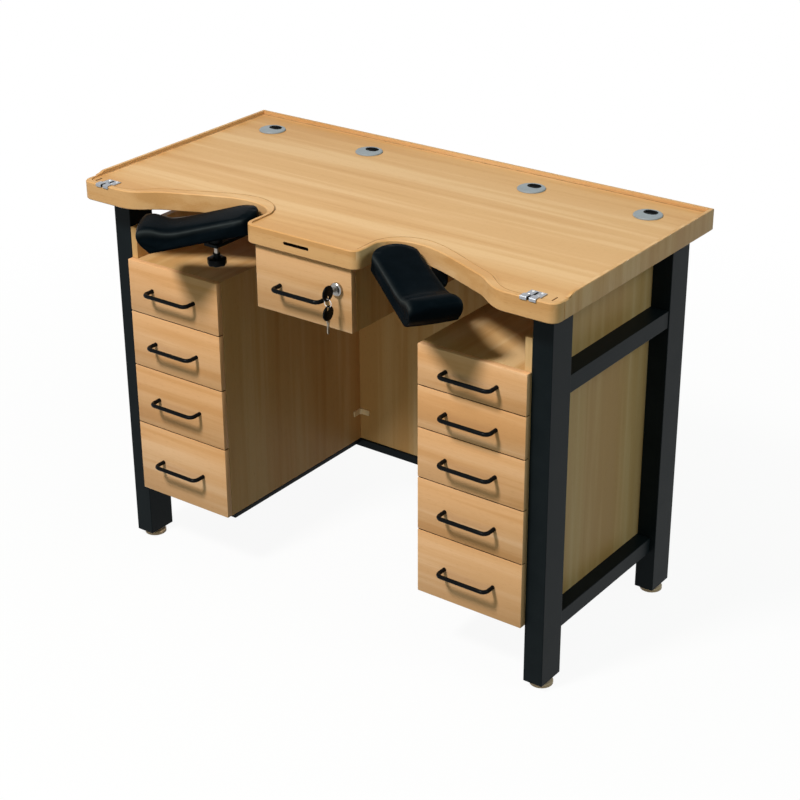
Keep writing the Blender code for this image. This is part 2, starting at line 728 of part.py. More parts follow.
def make_panels():
    back = box_object(
        "back_panel",
        (
            (-PANEL_OUTER_X, PANEL_Y, PEDESTAL_Z),
            (PANEL_OUTER_X, PANEL_Y + BOARD, UNDERSIDE_Z - GAP),
        ),
    )
    place(back, BEECH_PANEL)
    for name, sign in SIDES.items():
        floors = [box_levels(front)[0] for front in PEDESTALS[name]]
        side = box_object(
            f"{name}_side_panel",
            (
                (sign * PANEL_INNER_X, BOARD_FRONT_Y, PEDESTAL_Z),
                (sign * PANEL_OUTER_X, BOARD_BACK_Y, PEDESTAL_TOP_Z + SIDE_PANEL_RISE),
            ),
        )
        place(side, BEECH_PANEL)
        strips = runner_spans(sign * PANEL_INNER_X, -sign, floors, BOARD_FRONT_Y, BOX_DEPTH)
        join(side, box_object(f"{name}_outer_runners", *strips))
        carcass = box_object(
            f"{name}_pedestal_carcass",
            (
                (sign * KNEE_X, BOARD_FRONT_Y, PEDESTAL_Z),
                (sign * (KNEE_X + BOARD), BOARD_BACK_Y, PEDESTAL_TOP_Z),
            ),
        )
        place(carcass, BEECH_PANEL)
        shelf_x = (sign * (KNEE_X + BOARD - OVERLAP), sign * (PANEL_INNER_X - GAP))
        shelves = [
            ((shelf_x[0], BOARD_FRONT_Y, low), (shelf_x[1], BOARD_BACK_Y, low + BOARD))
            for low in (PEDESTAL_Z, PEDESTAL_TOP_Z - BOARD)
        ]
        join(carcass, box_object(f"{name}_shelves", *shelves))
        strips = runner_spans(sign * (KNEE_X + BOARD), sign, floors, BOARD_FRONT_Y, BOX_DEPTH)
        join(carcass, box_object(f"{name}_inner_runners", *strips))


def make_brace():
    """Plastic angle in the corner between the left pedestal and the back panel."""
    corner_x = -KNEE_X + GAP
    corner_y = PANEL_Y - GAP
    far = BRACE_THICKNESS
    outline = [
        (corner_x, corner_y),
        (corner_x, corner_y - BRACE_ARM),
        (corner_x + far, corner_y - BRACE_ARM),
        (corner_x + far, corner_y - 2 * far),
        (corner_x + 2 * far, corner_y - far),
        (corner_x + BRACE_ARM, corner_y - far),
        (corner_x + BRACE_ARM, corner_y),
    ]
    brace = sheet_object("corner_brace", outline, BRACE_HEIGHT)
    brace.location.z = PEDESTAL_Z + BRACE_RISE + BRACE_HEIGHT / 2
    place(brace, BRACE_PLASTIC)


def make_handle(name, x, face_y, z):
    """A bow pull: a round bar bent out from the drawer front at both ends."""
    half = HANDLE_SPAN / 2
    bend_x = half - HANDLE_BEND
    bend_y = HANDLE_BEND - HANDLE_REACH
    bend = arc((bend_x, bend_y), (HANDLE_BEND,) * 2, 0, -90, 5)
    run = [(half, -GAP)] + bend
    run += [(-px, py) for px, py in reversed(run)]
    bar = wire_object(name, [(px, py, 0.0) for px, py in run], HANDLE_RADIUS, resolution=4)
    bar.location = (x, face_y, z)
    place(bar, BLACK_LACQUER)


def make_drawer(name, front_x, front_z, box_x, box_z, face_y, depth):
    """A drawer: its front, and a box whose side grooves slide on the runners."""
    box_start = face_y + FRONT_THICKNESS
    drawer = box_object(
        name, ((front_x[0], face_y, front_z[0]), (front_x[1], box_start, front_z[1]))
    )
    place(drawer, BEECH_FRONT)
    round_edges(drawer, FRONT_EDGE)
    low_x, high_x = sorted(box_x)
    tray = box_object(
        f"{name}_box",
        ((low_x, box_start - OVERLAP, box_z[0]), (high_x, box_start + depth, box_z[1])),
    )
    join(drawer, tray)
    inside = (
        (low_x + BOX_SIDE, box_start, box_z[0] + BOX_FLOOR),
        (high_x - BOX_SIDE, box_start + depth - BOX_SIDE, box_z[1] + REACH),
    )
    groove_z = (box_z[0] + RUNNER_RISE - GAP, box_z[0] + RUNNER_RISE + RUNNER_HEIGHT + GAP)
    groove_in = RUNNER_DEPTH - SIDE_GAP + GAP
    groove_y = (box_start + BOX_SIDE - SIDE_GAP, box_start + depth + REACH)
    grooves = [
        ((low_x - REACH, groove_y[0], groove_z[0]), (low_x + groove_in, groove_y[1], groove_z[1])),
        ((high_x + REACH, groove_y[0], groove_z[0]), (high_x - groove_in, groove_y[1], groove_z[1])),
    ]
    cut(drawer, box_object(f"{name}_hollow", inside, *grooves))
    return drawer


def make_pedestal_drawers():
    for name, sign in SIDES.items():
        front_x = sorted((sign * KNEE_X, sign * PANEL_OUTER_X))
        box_x = (sign * (KNEE_X + BOARD + SIDE_GAP), sign * (PANEL_INNER_X - SIDE_GAP))
        for number, front_z in enumerate(PEDESTALS[name], 1):
            make_drawer(
                f"{name}_drawer_{number}", front_x, front_z, box_x, box_levels(front_z), FACE_Y, BOX_DEPTH
            )
            make_handle(f"{name}_handle_{number}", sum(front_x) / 2, FACE_Y, sum(front_z) / 2)


def make_centre_drawer():
    front_z = (CENTRE_BOTTOM, CENTRE_TOP_Z)
    inner_x = HOUSING_X - HOUSING_BOARD
    strike_z = HOUSING_TOP_Z - STRIKE_HEIGHT
    box_z = (CENTRE_BOTTOM + BOX_CLEARANCE, strike_z - BOX_CLEARANCE)
    box_x = (-inner_x + SIDE_GAP, inner_x - SIDE_GAP)
    drawer = make_drawer(
        "centre_drawer", (-HOUSING_X, HOUSING_X), front_z, box_x, box_z, CENTRE_FACE_Y, CENTRE_BOX_DEPTH
    )
    hole = cylinder_object("lock_hole", LOCK_BARREL_RADIUS + GAP, -REACH, FRONT_THICKNESS + REACH, 20)
    hole.rotation_euler.x = -math.pi / 2
    hole.location = (LOCK_X, CENTRE_FACE_Y, LOCK_Z)
    cut(drawer, hole)
    make_handle("centre_handle", 0.0, CENTRE_FACE_Y, sum(front_z) / 2 - CENTRE_HANDLE_DROP)
    housing_back = HOUSING_FRONT_Y + CENTRE_BOX_DEPTH + 2 * HOUSING_BOARD
    housing = box_object(
        "centre_drawer_housing",
        (
            (-HOUSING_X, housing_back - HOUSING_BOARD, CENTRE_BOTTOM),
            (HOUSING_X, housing_back, HOUSING_TOP_Z),
        ),
    )
    place(housing, BEECH_PANEL)
    for name, sign in SIDES.items():
        wall = (
            (sign * HOUSING_X, HOUSING_FRONT_Y, CENTRE_BOTTOM),
            (sign * inner_x, housing_back - HOUSING_BOARD + OVERLAP, HOUSING_TOP_Z),
        )
        join(housing, box_object(f"housing_{name}_wall", wall))
        strip = runner_spans(sign * inner_x, -sign, box_z[:1], HOUSING_FRONT_Y, CENTRE_BOX_DEPTH)
        join(housing, box_object(f"housing_{name}_runner", *strip))
    strike = (
        (-inner_x - OVERLAP, HOUSING_FRONT_Y, strike_z),
        (inner_x + OVERLAP, HOUSING_FRONT_Y + STRIKE_THICKNESS, HOUSING_TOP_Z),
    )
    join(housing, box_object("lock_strike", strike))


def key_bow(name, hole_below):
    """A round key head in the YZ plane about its own origin, with a hole above or below its middle."""
    bow = cylinder_object(name, KEY_BOW_RADIUS, -KEY_BOW_THICKNESS / 2, KEY_BOW_THICKNESS / 2, 28)
    bow.rotation_euler.y = math.pi / 2
    hole = cylinder_object(f"{name}_hole", KEY_HOLE_RADIUS, -REACH, REACH, 16)
    hole.rotation_euler.y = math.pi / 2
    offset = KEY_BOW_RADIUS - KEY_RIM - KEY_HOLE_RADIUS
    hole.location.z = -offset if hole_below else offset
    return bow, hole


def make_lock():
    """Lock barrel, turning plug with its cam, the key in it, and a spare key on a ring."""
    front_y = CENTRE_FACE_Y - LOCK_FACE
    tail_y = CENTRE_FACE_Y + FRONT_THICKNESS + LOCK_BARREL_TAIL
    bore = PLUG_RADIUS + GAP
    edge = LOCK_FACE / 4
    profile = [
        (bore, LOCK_FACE),
        (LOCK_FACE_RADIUS - edge, LOCK_FACE),
        (LOCK_FACE_RADIUS, LOCK_FACE - edge),
        (LOCK_FACE_RADIUS, GAP),
        (LOCK_BARREL_RADIUS, GAP),
        (LOCK_BARREL_RADIUS, CENTRE_FACE_Y - tail_y),
        (bore, CENTRE_FACE_Y - tail_y),
        (bore, LOCK_FACE),
    ]
    barrel = turned_object("lock_barrel", profile)
    barrel.rotation_euler.x = math.pi / 2
    barrel.location = (LOCK_X, CENTRE_FACE_Y, LOCK_Z)
    place(barrel, BRIGHT_STEEL)

    pivot = bpy.data.objects.new("lock_pivot", None)
    place(pivot, None)
    pivot.location = (LOCK_X, front_y, LOCK_Z)
    plug_end = tail_y - front_y + GAP + CAM_THICKNESS
    plug = cylinder_object("lock_cam", PLUG_RADIUS, GAP, plug_end, 20)
    plug.rotation_euler.x = -math.pi / 2
    place(plug, BRIGHT_STEEL, pivot)
    arm = box_object(
        "cam_arm",
        (
            (PLUG_RADIUS, plug_end - CAM_THICKNESS, -CAM_WIDTH / 2),
            (-CAM_LENGTH, plug_end, CAM_WIDTH / 2),
        ),
    )
    join(plug, arm, pivot)
    keyway_half = KEY_BLADE_WIDTH / 2 + GAP
    keyway_side = KEY_BLADE_THICKNESS / 2 + GAP
    keyway = box_object(
        "keyway",
        ((-keyway_side, -REACH, -keyway_half), (keyway_side, KEY_BLADE_IN + GAP, keyway_half)),
    )
    cut(plug, keyway, pivot)

    bow_y = -KEY_SHANK - KEY_BOW_RADIUS
    key, hole = key_bow("key", True)
    key.location.y = bow_y
    hole.location.y = bow_y
    place(key, BLACK_PLASTIC, pivot)
    smooth(key)
    cut(key, hole, pivot)
    blade = box_object(
        "key_blade",
        (
            (-KEY_BLADE_THICKNESS / 2, bow_y + KEY_BOW_RADIUS - OVERLAP, -KEY_BLADE_WIDTH / 2),
            (KEY_BLADE_THICKNESS / 2, KEY_BLADE_IN, KEY_BLADE_WIDTH / 2),
        ),
    )
    join(key, blade, pivot)

    swing = bpy.data.objects.new("spare_key_pivot", None)
    place(swing, None, pivot)
    swing.location = (0, bow_y, KEY_RIM / 2 - KEY_BOW_RADIUS)
    rim_reach = math.hypot(KEY_RIM, KEY_BOW_THICKNESS) / 2  # of the rim as it turns inside the ring
    ring_top = rim_reach + RING_GAP + RING_WIRE
    ring_middle = ring_top - RING_RADIUS
    wire_top = ring_middle - RING_RADIUS + RING_WIRE
    bow_z = wire_top - RING_WIRE / 2 + KEY_RIM - KEY_BOW_RADIUS
    spare, hole = key_bow("spare_key", False)
    spare.location.z = bow_z
    hole.location.z += bow_z
    place(spare, BLACK_PLASTIC, swing)
    smooth(spare)
    cut(spare, hole, swing)
    blade_low = bow_z - KEY_BOW_RADIUS - SPARE_BLADE
    blade = box_object(
        "spare_blade",
        (
            (-KEY_BLADE_THICKNESS / 2, -KEY_BLADE_WIDTH / 2, blade_low),
            (KEY_BLADE_THICKNESS / 2, KEY_BLADE_WIDTH / 2, bow_z - KEY_BOW_RADIUS + OVERLAP),
        ),
    )
    join(spare, blade, swing)
    circle = [(x, 0.0, z) for x, z in arc((0, ring_middle), (RING_RADIUS,) * 2, 0, 345, 23)]
    ring = solid_of(wire_object("key_ring", circle, RING_WIRE, True, 1))
    join(spare, ring, swing)


def pad_point(along, across, up, sign):
    """A point of the pad's cage from its shares of length (inner to outer end), half width and height."""
    half_inner = PAD_INNER_WIDTH / 2
    half_outer = PAD_WIDTH / 2
    inner = PAD_INNER_ROUND * (1 - math.sqrt(1 - (0.95 * across) ** 2)) - PAD_INNER
    flare = PAD_FLARE * math.sin(math.pi * 0.72 * up) ** 2
    outer = PAD_OUTER - PAD_END_BOW * across * across + flare * along**4
    u = inner + (outer - inner) * along
    half = half_inner + (half_outer - half_inner) * along
    half -= PAD_WAIST * math.sin(math.pi * along) * math.sin(math.pi * up)
    offset = PAD_INNER_OFFSET + (PAD_OFFSET - PAD_INNER_OFFSET) * along
    share = min(max((u - PAD_OUTER + PAD_LIP_RUN) / (PAD_LIP_RUN * 0.8), 0.0), 1.0)
    lip = PAD_LIP * share * share * (3 - 2 * share)
    height = PAD_THICKNESS + PAD_CROWN * (1 - across * across) + lip
    return u, sign * (across * half - offset), height * up


def pad_object(name, sign):
    """A closed cage of quads, on a grid of stations, smoothed by subdivision."""
    along = (0.0, 0.06, 0.2, 0.38, 0.55, 0.7, 0.8, 0.88, 0.95, 1.0)
    across = (-1.0, -0.86, -0.35, 0.35, 0.86, 1.0)
    up = (0.0, 0.12, 0.75, 1.0)
    shape = bmesh.new()
    counts = (len(along), len(across), len(up))
    found = {}

    def corner(i, j, k):
        if (i, j, k) not in found:
            found[i, j, k] = shape.verts.new(pad_point(along[i], across[j], up[k], sign))
        return found[i, j, k]

    for axis in range(3):
        first, second = [other for other in range(3) if other != axis]
        for level in (0, counts[axis] - 1):
            for a in range(counts[first] - 1):
                for b in range(counts[second] - 1):
                    face = []
                    for da, db in ((0, 0), (1, 0), (1, 1), (0, 1)):
                        index = [level] * 3
                        index[first] = a + da
                        index[second] = b + db
                        face.append(corner(*index))
                    shape.faces.new(face)
    bmesh.ops.recalc_face_normals(shape, faces=shape.faces)
    mesh = bpy.data.meshes.new(name)
    shape.to_mesh(mesh)
    shape.free()
    mesh.shade_smooth()
    made = bpy.data.objects.new(name, mesh)
    rounding = made.modifiers.new("rounding", "SUBSURF")
    rounding.levels = 1
    rounding.render_levels = 1
    return made


def make_bracket(name, sign):
    """Cranked flat bar from under the worktop to the eye below the pad."""
    low = BRACKET_EYE_Z
    thick = BRACKET_THICKNESS
    high = UNDERSIDE_Z - GAP
    bend_y = FRONT_Y + SCOOP_DEPTH + BRACKET_LAP
    tip_y = PIVOT_Y - BRACKET_WIDTH / 2
    foot_y = bend_y + BRACKET_FOOT
    outline = [
        (tip_y, low),
        (bend_y, low),
        (bend_y + thick, low + thick),
        (bend_y + thick, high - thick),
        (foot_y, high - thick),
        (foot_y, high),
        (bend_y + thick / 2, high),
        (bend_y, high - thick / 2),
        (bend_y, low + thick),
        (tip_y, low + thick),
    ]
    middle = sign * PIVOT_X
    bracket = side_profile_object(
        f"{name}_arm_bracket", outline, middle - BRACKET_WIDTH / 2, middle + BRACKET_WIDTH / 2
    )
    place(bracket, BLACK_STEEL)
    eye = cylinder_object(f"{name}_bracket_eye", SPINDLE_RADIUS + GAP, low - REACH, low + thick + REACH, 20)
    eye.location = (middle, PIVOT_Y, 0)
    cut(bracket, eye)


def make_arm(name, sign):
    """Pad, its sloped base with the spindle, and the clamp knob, about the pivot's axis."""
    pivot = bpy.data.objects.new(f"{name}_arm_pivot", None)
    place(pivot, None)
    pivot.location = (sign * PIVOT_X, PIVOT_Y, PAD_HEIGHT)
    heading = -PAD_YAW if sign > 0 else math.pi + PAD_YAW
    tilt = Matrix.Rotation(heading, 4, "Z") @ Matrix.Rotation(PAD_SLOPE, 4, "Y")

    pad = pad_object(f"{name}_arm_pad", sign)
    place(pad, LEATHERETTE, pivot)
    pad.matrix_local = tilt

    seat = BRACKET_EYE_Z + BRACKET_THICKNESS + GAP - PAD_HEIGHT
    knob_top = BRACKET_EYE_Z - KNOB_DROP - PAD_HEIGHT
    knob_low = knob_top - KNOB_HUB_HEIGHT - KNOB_HEIGHT
    spindle_end = knob_low + KNOB_WALL + GAP
    base = box_object(
        f"{name}_arm_base",
        (
            (-BASE_LENGTH / 2, -sign * PAD_OFFSET - BASE_WIDTH / 2, -BASE_THICKNESS - GAP),
            (BASE_LENGTH / 2, -sign * PAD_OFFSET + BASE_WIDTH / 2, -GAP),
        ),
    )
    place(base, BLACK_STEEL, pivot)
    base.matrix_local = tilt
    round_edges(base, BASE_THICKNESS / 4, 1)
    boss_top = -BASE_THICKNESS / 2 - BOSS_RADIUS * math.tan(PAD_SLOPE)
    join(base, cylinder_object(f"{name}_boss", BOSS_RADIUS, seat, boss_top), pivot)
    spindle = cylinder_object(f"{name}_spindle", SPINDLE_RADIUS, spindle_end, seat + OVERLAP, 20)
    join(base, spindle, pivot)

    steps = 6 * KNOB_LOBES
    lobes = []
    for i in range(steps):
        angle = 2 * math.pi * i / steps
        radius = KNOB_RADIUS - KNOB_LOBE * (1 - math.cos(KNOB_LOBES * angle)) / 2
        lobes.append((radius * math.cos(angle), radius * math.sin(angle)))
    knob = sheet_object(f"{name}_arm_knob", lobes, KNOB_HEIGHT)
    knob.location.z = knob_low + KNOB_HEIGHT / 2
    place(knob, BLACK_PLASTIC, pivot)
    round_edges(knob, KNOB_HEIGHT / 5, 2)
    hub = cylinder_object(f"{name}_knob_hub", KNOB_HUB_RADIUS, knob_low + OVERLAP, knob_top, 20)
    join(knob, hub, pivot)
    bore = cylinder_object(
        f"{name}_knob_bore", SPINDLE_RADIUS + GAP, spindle_end - GAP, knob_top + REACH, 20
    )
    cut(knob, bore, pivot)


def centre_front_to_back():
    """Moves the whole bench so that its box is centred on the origin along Y."""
    bpy.context.view_layer.update()
    graph = bpy.context.evaluated_depsgraph_get()
    reach = []
    for obj in PARTS.objects:
        if obj.type == "EMPTY":
            continue
        evaluated = obj.evaluated_get(graph)
        mesh = evaluated.to_mesh()
        reach += [(evaluated.matrix_world @ vertex.co).y for vertex in mesh.vertices]
        evaluated.to_mesh_clear()
    ORIGIN.location.y = -(min(reach) + max(reach)) / 2


make_worktop()
make_lip()
make_grommets()
make_plates()
make_legs()
make_rails()
make_panels()
make_brace()
make_pedestal_drawers()
make_centre_drawer()
make_lock()
for side_name, side_sign in SIDES.items():
    make_bracket(side_name, side_sign)
    make_arm(side_name, side_sign)
centre_front_to_back()
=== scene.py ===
"""Looks of the watchmaker's bench: finishes for every piece, upholstered arm pads, keys and small trim."""

import json
import math

import bmesh
import bpy
from mathutils import Euler, Matrix, Vector


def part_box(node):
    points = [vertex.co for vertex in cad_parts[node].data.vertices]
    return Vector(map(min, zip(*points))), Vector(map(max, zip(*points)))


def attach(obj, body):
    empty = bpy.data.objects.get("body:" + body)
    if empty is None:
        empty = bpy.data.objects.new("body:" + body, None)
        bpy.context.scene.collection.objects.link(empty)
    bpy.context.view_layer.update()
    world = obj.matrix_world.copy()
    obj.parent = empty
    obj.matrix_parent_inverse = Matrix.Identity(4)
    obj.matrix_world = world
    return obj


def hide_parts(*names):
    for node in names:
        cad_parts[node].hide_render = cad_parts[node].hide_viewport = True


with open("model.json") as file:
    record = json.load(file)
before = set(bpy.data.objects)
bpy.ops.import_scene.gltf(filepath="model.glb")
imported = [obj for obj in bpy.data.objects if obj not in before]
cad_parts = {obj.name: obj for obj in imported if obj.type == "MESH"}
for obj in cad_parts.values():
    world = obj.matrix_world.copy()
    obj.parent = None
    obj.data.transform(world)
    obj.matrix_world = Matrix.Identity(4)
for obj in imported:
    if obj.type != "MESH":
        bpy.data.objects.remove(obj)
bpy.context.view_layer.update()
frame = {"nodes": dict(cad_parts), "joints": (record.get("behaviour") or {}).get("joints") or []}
scene = bpy.context.scene
scene.view_settings.view_transform = "Standard"

NODES = frame["nodes"]
SIDES = {"left": -1, "right": 1}
TOP_LOW, TOP_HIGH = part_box("worktop")
MIDDLE_Y = (TOP_LOW.y + TOP_HIGH.y) / 2
RECESS = 0.003  # of the work surface below the rim
CLEARANCE = 0.0003  # between neighbouring pieces

# Camera, solved from the straight edges in the photograph: millimetres, metres and degrees
CAMERA_LENS, CAMERA_SENSOR, CAMERA_REACH = 83.5, 36.0, 30.0
CAMERA_X, CAMERA_Y, CAMERA_Z = 2.20767, MIDDLE_Y - 2.97265, 2.19433
CAMERA_PITCH, CAMERA_TURN, CAMERA_ROLL = 25.715, 36.3046, -0.3043


def make_camera():
    data = bpy.data.cameras.new("photo_camera")
    data.lens = CAMERA_LENS
    data.sensor_width = CAMERA_SENSOR
    data.clip_end = CAMERA_REACH
    camera = bpy.data.objects.new("photo_camera", data)
    scene.collection.objects.link(camera)
    turn = Euler((math.radians(90 - CAMERA_PITCH), 0, math.radians(CAMERA_TURN))).to_matrix().to_4x4()
    roll = Matrix.Rotation(math.radians(CAMERA_ROLL), 4, "Z")
    place = Matrix.Translation((CAMERA_X, CAMERA_Y, CAMERA_Z))
    camera.matrix_world = place @ turn @ roll
    scene.camera = camera


# Soft studio light from high in front, weaker lamps from the front, the right and the back, a dim surround.
# Each lamp has its place, target, size, power and colour
LAMPS = {
    "key_light": ((-0.55, -2.85, 4.3), (0, 0, 0.6), 0.9, 203.0, (1.0, 0.980, 0.950)),
    "front_light": ((1.2, -4.5, 1.3), (0, 0, 0.5), 3.0, 31.0, (0.93, 1.0, 0.93)),
    "side_light": ((3.2, 0.3, 2.8), (0, 0, 0.5), 1.6, 27.0, (0.78, 0.95, 0.97)),
    "back_light": ((-1.9, 4.1, 0.44), (0, 0.3, 0.44), 0.8, 60.0, (1.0, 0.97, 0.92)),
}
SURROUND_COLOUR, SURROUND_STRENGTH = (0.74, 1.0, 0.66, 1), 0.175


def area_light(name, position, target, size, power, colour):
    data = bpy.data.lights.new(name, "AREA")
    data.shape = "DISK"
    data.size = size
    data.energy = power
    data.color = colour
    lamp = bpy.data.objects.new(name, data)
    lamp.location = position
    lamp.rotation_euler = (Vector(target) - Vector(position)).to_track_quat("-Z", "Y").to_euler()
    scene.collection.objects.link(lamp)


def make_light():
    for name, settings in LAMPS.items():
        area_light(name, *settings)
    world = bpy.data.worlds.new("surround")
    scene.world = world
    world.use_nodes = True
    tree = world.node_tree
    tree.nodes.clear()
    out = tree.nodes.new("ShaderNodeOutputWorld")
    dim = tree.nodes.new("ShaderNodeBackground")
    dim.inputs["Color"].default_value = SURROUND_COLOUR
    dim.inputs["Strength"].default_value = SURROUND_STRENGTH
    white = tree.nodes.new("ShaderNodeBackground")
    white.inputs["Color"].default_value = (1, 1, 1, 1)
    white.inputs["Strength"].default_value = 1.0
    mix = tree.nodes.new("ShaderNodeMixShader")
    tree.links.new(seen_directly(tree), mix.inputs[0])
    tree.links.new(dim.outputs[0], mix.inputs[1])
    tree.links.new(white.outputs[0], mix.inputs[2])
    tree.links.new(mix.outputs[0], out.inputs["Surface"])


def seen_directly(tree):
    """1 for camera, glossy and transmission rays, otherwise 0."""
    path = tree.nodes.new("ShaderNodeLightPath")
    first = tree.nodes.new("ShaderNodeMath")
    first.operation = "MAXIMUM"
    second = tree.nodes.new("ShaderNodeMath")
    second.operation = "MAXIMUM"
    tree.links.new(path.outputs["Is Camera Ray"], first.inputs[0])
    tree.links.new(path.outputs["Is Glossy Ray"], first.inputs[1])
    tree.links.new(first.outputs[0], second.inputs[0])
    tree.links.new(path.outputs["Is Transmission Ray"], second.inputs[1])
    return second.outputs[0]


# White floor that keeps a soft shadow near the bench and fades to plain white further out
FLOOR_HALF, FLOOR_DROP, FLOOR_COLOUR = 14.0, 0.0005, (0.9, 0.9, 0.9, 1)
SHADOW_NEAR, SHADOW_FAR, SHADOW_GLOW = 0.8, 2.4, 0.93


def make_floor():
    mesh = bpy.data.meshes.new("floor")
    shape = bmesh.new()
    bmesh.ops.create_grid(shape, x_segments=8, y_segments=8, size=FLOOR_HALF)
    shape.to_mesh(mesh)
    shape.free()
    floor = bpy.data.objects.new("floor", mesh)
    floor.location.z = -FLOOR_DROP
    scene.collection.objects.link(floor)
    material = bpy.data.materials.new("pale_floor")
    material.use_nodes = True
    tree = material.node_tree
    tree.nodes.clear()
    out = tree.nodes.new("ShaderNodeOutputMaterial")
    matte = tree.nodes.new("ShaderNodeBsdfDiffuse")
    matte.inputs["Color"].default_value = FLOOR_COLOUR
    glow = tree.nodes.new("ShaderNodeEmission")
    glow.inputs["Color"].default_value = (1, 1, 1, 1)
    tree.links.new(seen_directly(tree), glow.inputs["Strength"])
    both = tree.nodes.new("ShaderNodeMixShader")
    coords = tree.nodes.new("ShaderNodeTexCoord")
    length = tree.nodes.new("ShaderNodeVectorMath")
    length.operation = "LENGTH"
    tree.links.new(coords.outputs["Object"], length.inputs[0])
    share = tree.nodes.new("ShaderNodeMapRange")
    share.inputs["From Min"].default_value = SHADOW_NEAR
    share.inputs["From Max"].default_value = SHADOW_FAR
    share.inputs["To Min"].default_value = SHADOW_GLOW
    share.inputs["To Max"].default_value = 1.0
    tree.links.new(length.outputs["Value"], share.inputs["Value"])
    tree.links.new(share.outputs["Result"], both.inputs[0])
    tree.links.new(matte.outputs[0], both.inputs[1])
    tree.links.new(glow.outputs[0], both.inputs[2])
    tree.links.new(both.outputs[0], out.inputs["Surface"])
    mesh.materials.append(material)


# Node helpers for the finishes
class Finish:
    """A Principled material whose textures read the object's own coordinates, in metres."""

    def __init__(self, name, roughness=0.5, metallic=0.0, specular=0.5):
        self.material = bpy.data.materials.new(name)
        self.material.use_nodes = True
        self.tree = self.material.node_tree
        self.shader = self.tree.nodes["Principled BSDF"]
        self.shader.inputs["Roughness"].default_value = roughness
        self.shader.inputs["Metallic"].default_value = metallic
        self.shader.inputs["Specular IOR Level"].default_value = specular
        self.coords = self.tree.nodes.new("ShaderNodeTexCoord")
        self.place = self.coords.outputs["Object"]

    def link(self, source, target):
        self.tree.links.new(source, target)

    def math(self, operation, first, second=0.5, clamp=False):
        made = self.tree.nodes.new("ShaderNodeMath")
        made.operation = operation
        made.use_clamp = clamp
        for socket, value in zip(made.inputs, (first, second)):
            if isinstance(value, (int, float)):
                socket.default_value = value
            else:
                self.link(value, socket)
        return made.outputs[0]

    def axes(self, vector):
        """The X, Y and Z outputs of a vector."""
        made = self.tree.nodes.new("ShaderNodeSeparateXYZ")
        self.link(vector, made.inputs[0])
        return made.outputs

    def stretched(self, scale, source=None):
        made = self.tree.nodes.new("ShaderNodeMapping")
        made.inputs["Scale"].default_value = scale
        self.link(source or self.place, made.inputs["Vector"])
        return made.outputs[0]

    def noise(self, vector, scale=1.0, detail=2.0, roughness=0.5, distortion=0.0):
        made = self.tree.nodes.new("ShaderNodeTexNoise")
        made.inputs["Scale"].default_value = scale
        made.inputs["Detail"].default_value = detail
        made.inputs["Roughness"].default_value = roughness
        made.inputs["Distortion"].default_value = distortion
        self.link(vector, made.inputs["Vector"])
        return made.outputs["Fac"]

    def cells(self, vector, scale):
        made = self.tree.nodes.new("ShaderNodeTexVoronoi")
        made.feature = "DISTANCE_TO_EDGE"
        made.inputs["Scale"].default_value = scale
        self.link(vector, made.inputs["Vector"])
        return made.outputs["Distance"]

    def ramp(self, value, *stops):
        made = self.tree.nodes.new("ShaderNodeValToRGB")
        made.color_ramp.interpolation = "EASE"
        while len(made.color_ramp.elements) < len(stops):
            made.color_ramp.elements.new(0.5)
        for element, (position, colour) in zip(made.color_ramp.elements, stops):
            element.position = position
            element.color = (*colour, 1.0)
        self.link(value, made.inputs["Fac"])
        return made.outputs["Color"]

    def span(self, value, low, high):
        """The 0 to 1 value taken to the range low to high."""
        made = self.tree.nodes.new("ShaderNodeMapRange")
        made.inputs["To Min"].default_value = low
        made.inputs["To Max"].default_value = high
        self.link(value, made.inputs["Value"])
        return made.outputs["Result"]

    def mix(self, factor, first, second, blend="MIX"):
        made = self.tree.nodes.new("ShaderNodeMix")
        made.data_type = "RGBA"
        made.blend_type = blend
        for socket, value in zip((made.inputs[0], made.inputs[6], made.inputs[7]), (factor, first, second)):
            if isinstance(value, (int, float)):
                socket.default_value = value
            elif isinstance(value, tuple):
                socket.default_value = (*value, 1.0)
            else:
                self.link(value, socket)
        return made.outputs[2]

    def colour(self, source):
        self.link(source, self.shader.inputs["Base Color"])

    def rough(self, source):
        self.link(source, self.shader.inputs["Roughness"])

    def bump(self, height, strength, distance):
        made = self.tree.nodes.new("ShaderNodeBump")
        made.inputs["Strength"].default_value = strength
        made.inputs["Distance"].default_value = distance
        self.link(height, made.inputs["Height"])
        self.link(made.outputs["Normal"], self.shader.inputs["Normal"])


TURNS = {"X": (0, 0, 0), "Y": (0, 0, -math.pi / 2), "Z": (0, math.pi / 2, 0)}


def turned(finish, axis, offset):
    """The object's coordinates turned so that the grain runs along the first of them."""
    made = finish.tree.nodes.new("ShaderNodeMapping")
    made.inputs["Rotation"].default_value = TURNS[axis]
    made.inputs["Location"].default_value = offset
    finish.link(finish.place, made.inputs["Vector"])
    return made.outputs[0]


def within(finish, low, high):
    """1 inside a box of the object's coordinates, otherwise 0."""
    place = finish.axes(finish.place)
    share = 1.0
    for axis, below, above in zip("XYZ", low, high):
        share = finish.math("MULTIPLY", finish.math("GREATER_THAN", place[axis], below), share)
        share = finish.math("MULTIPLY", finish.math("LESS_THAN", place[axis], above), share)
    return share


# Grain of the beech: scales along and across it, shares in the tone, and the stops of its three colours
BANDS, STREAKS, FIBRES, FLECKS = (0.5, 8, 8), (1.1, 30, 30), (9, 420, 420), (55, 950, 950)
BAND_SHARE, STREAK_SHARE, FIBRE_SHARE = 0.44, 0.46, 0.08
DARK_STOP, MIDDLE_STOP, LIGHT_STOP = 0.40, 0.5, 0.60
FLECK_TINT, FLECK_SHARE = (0.86, 0.8, 0.74), 0.8
END_FACE = 0.75  # least share of a normal along the grain on a face that shows its end
# Painted shade inside a hollow
HOLLOW_SHADE = (0.010, 0.006, 0.004)
# Tint and samples of the painted shade where neighbouring pieces are near
GAP_SHADE_TINT, GAP_SAMPLES = (0.10, 0.07, 0.05), 8


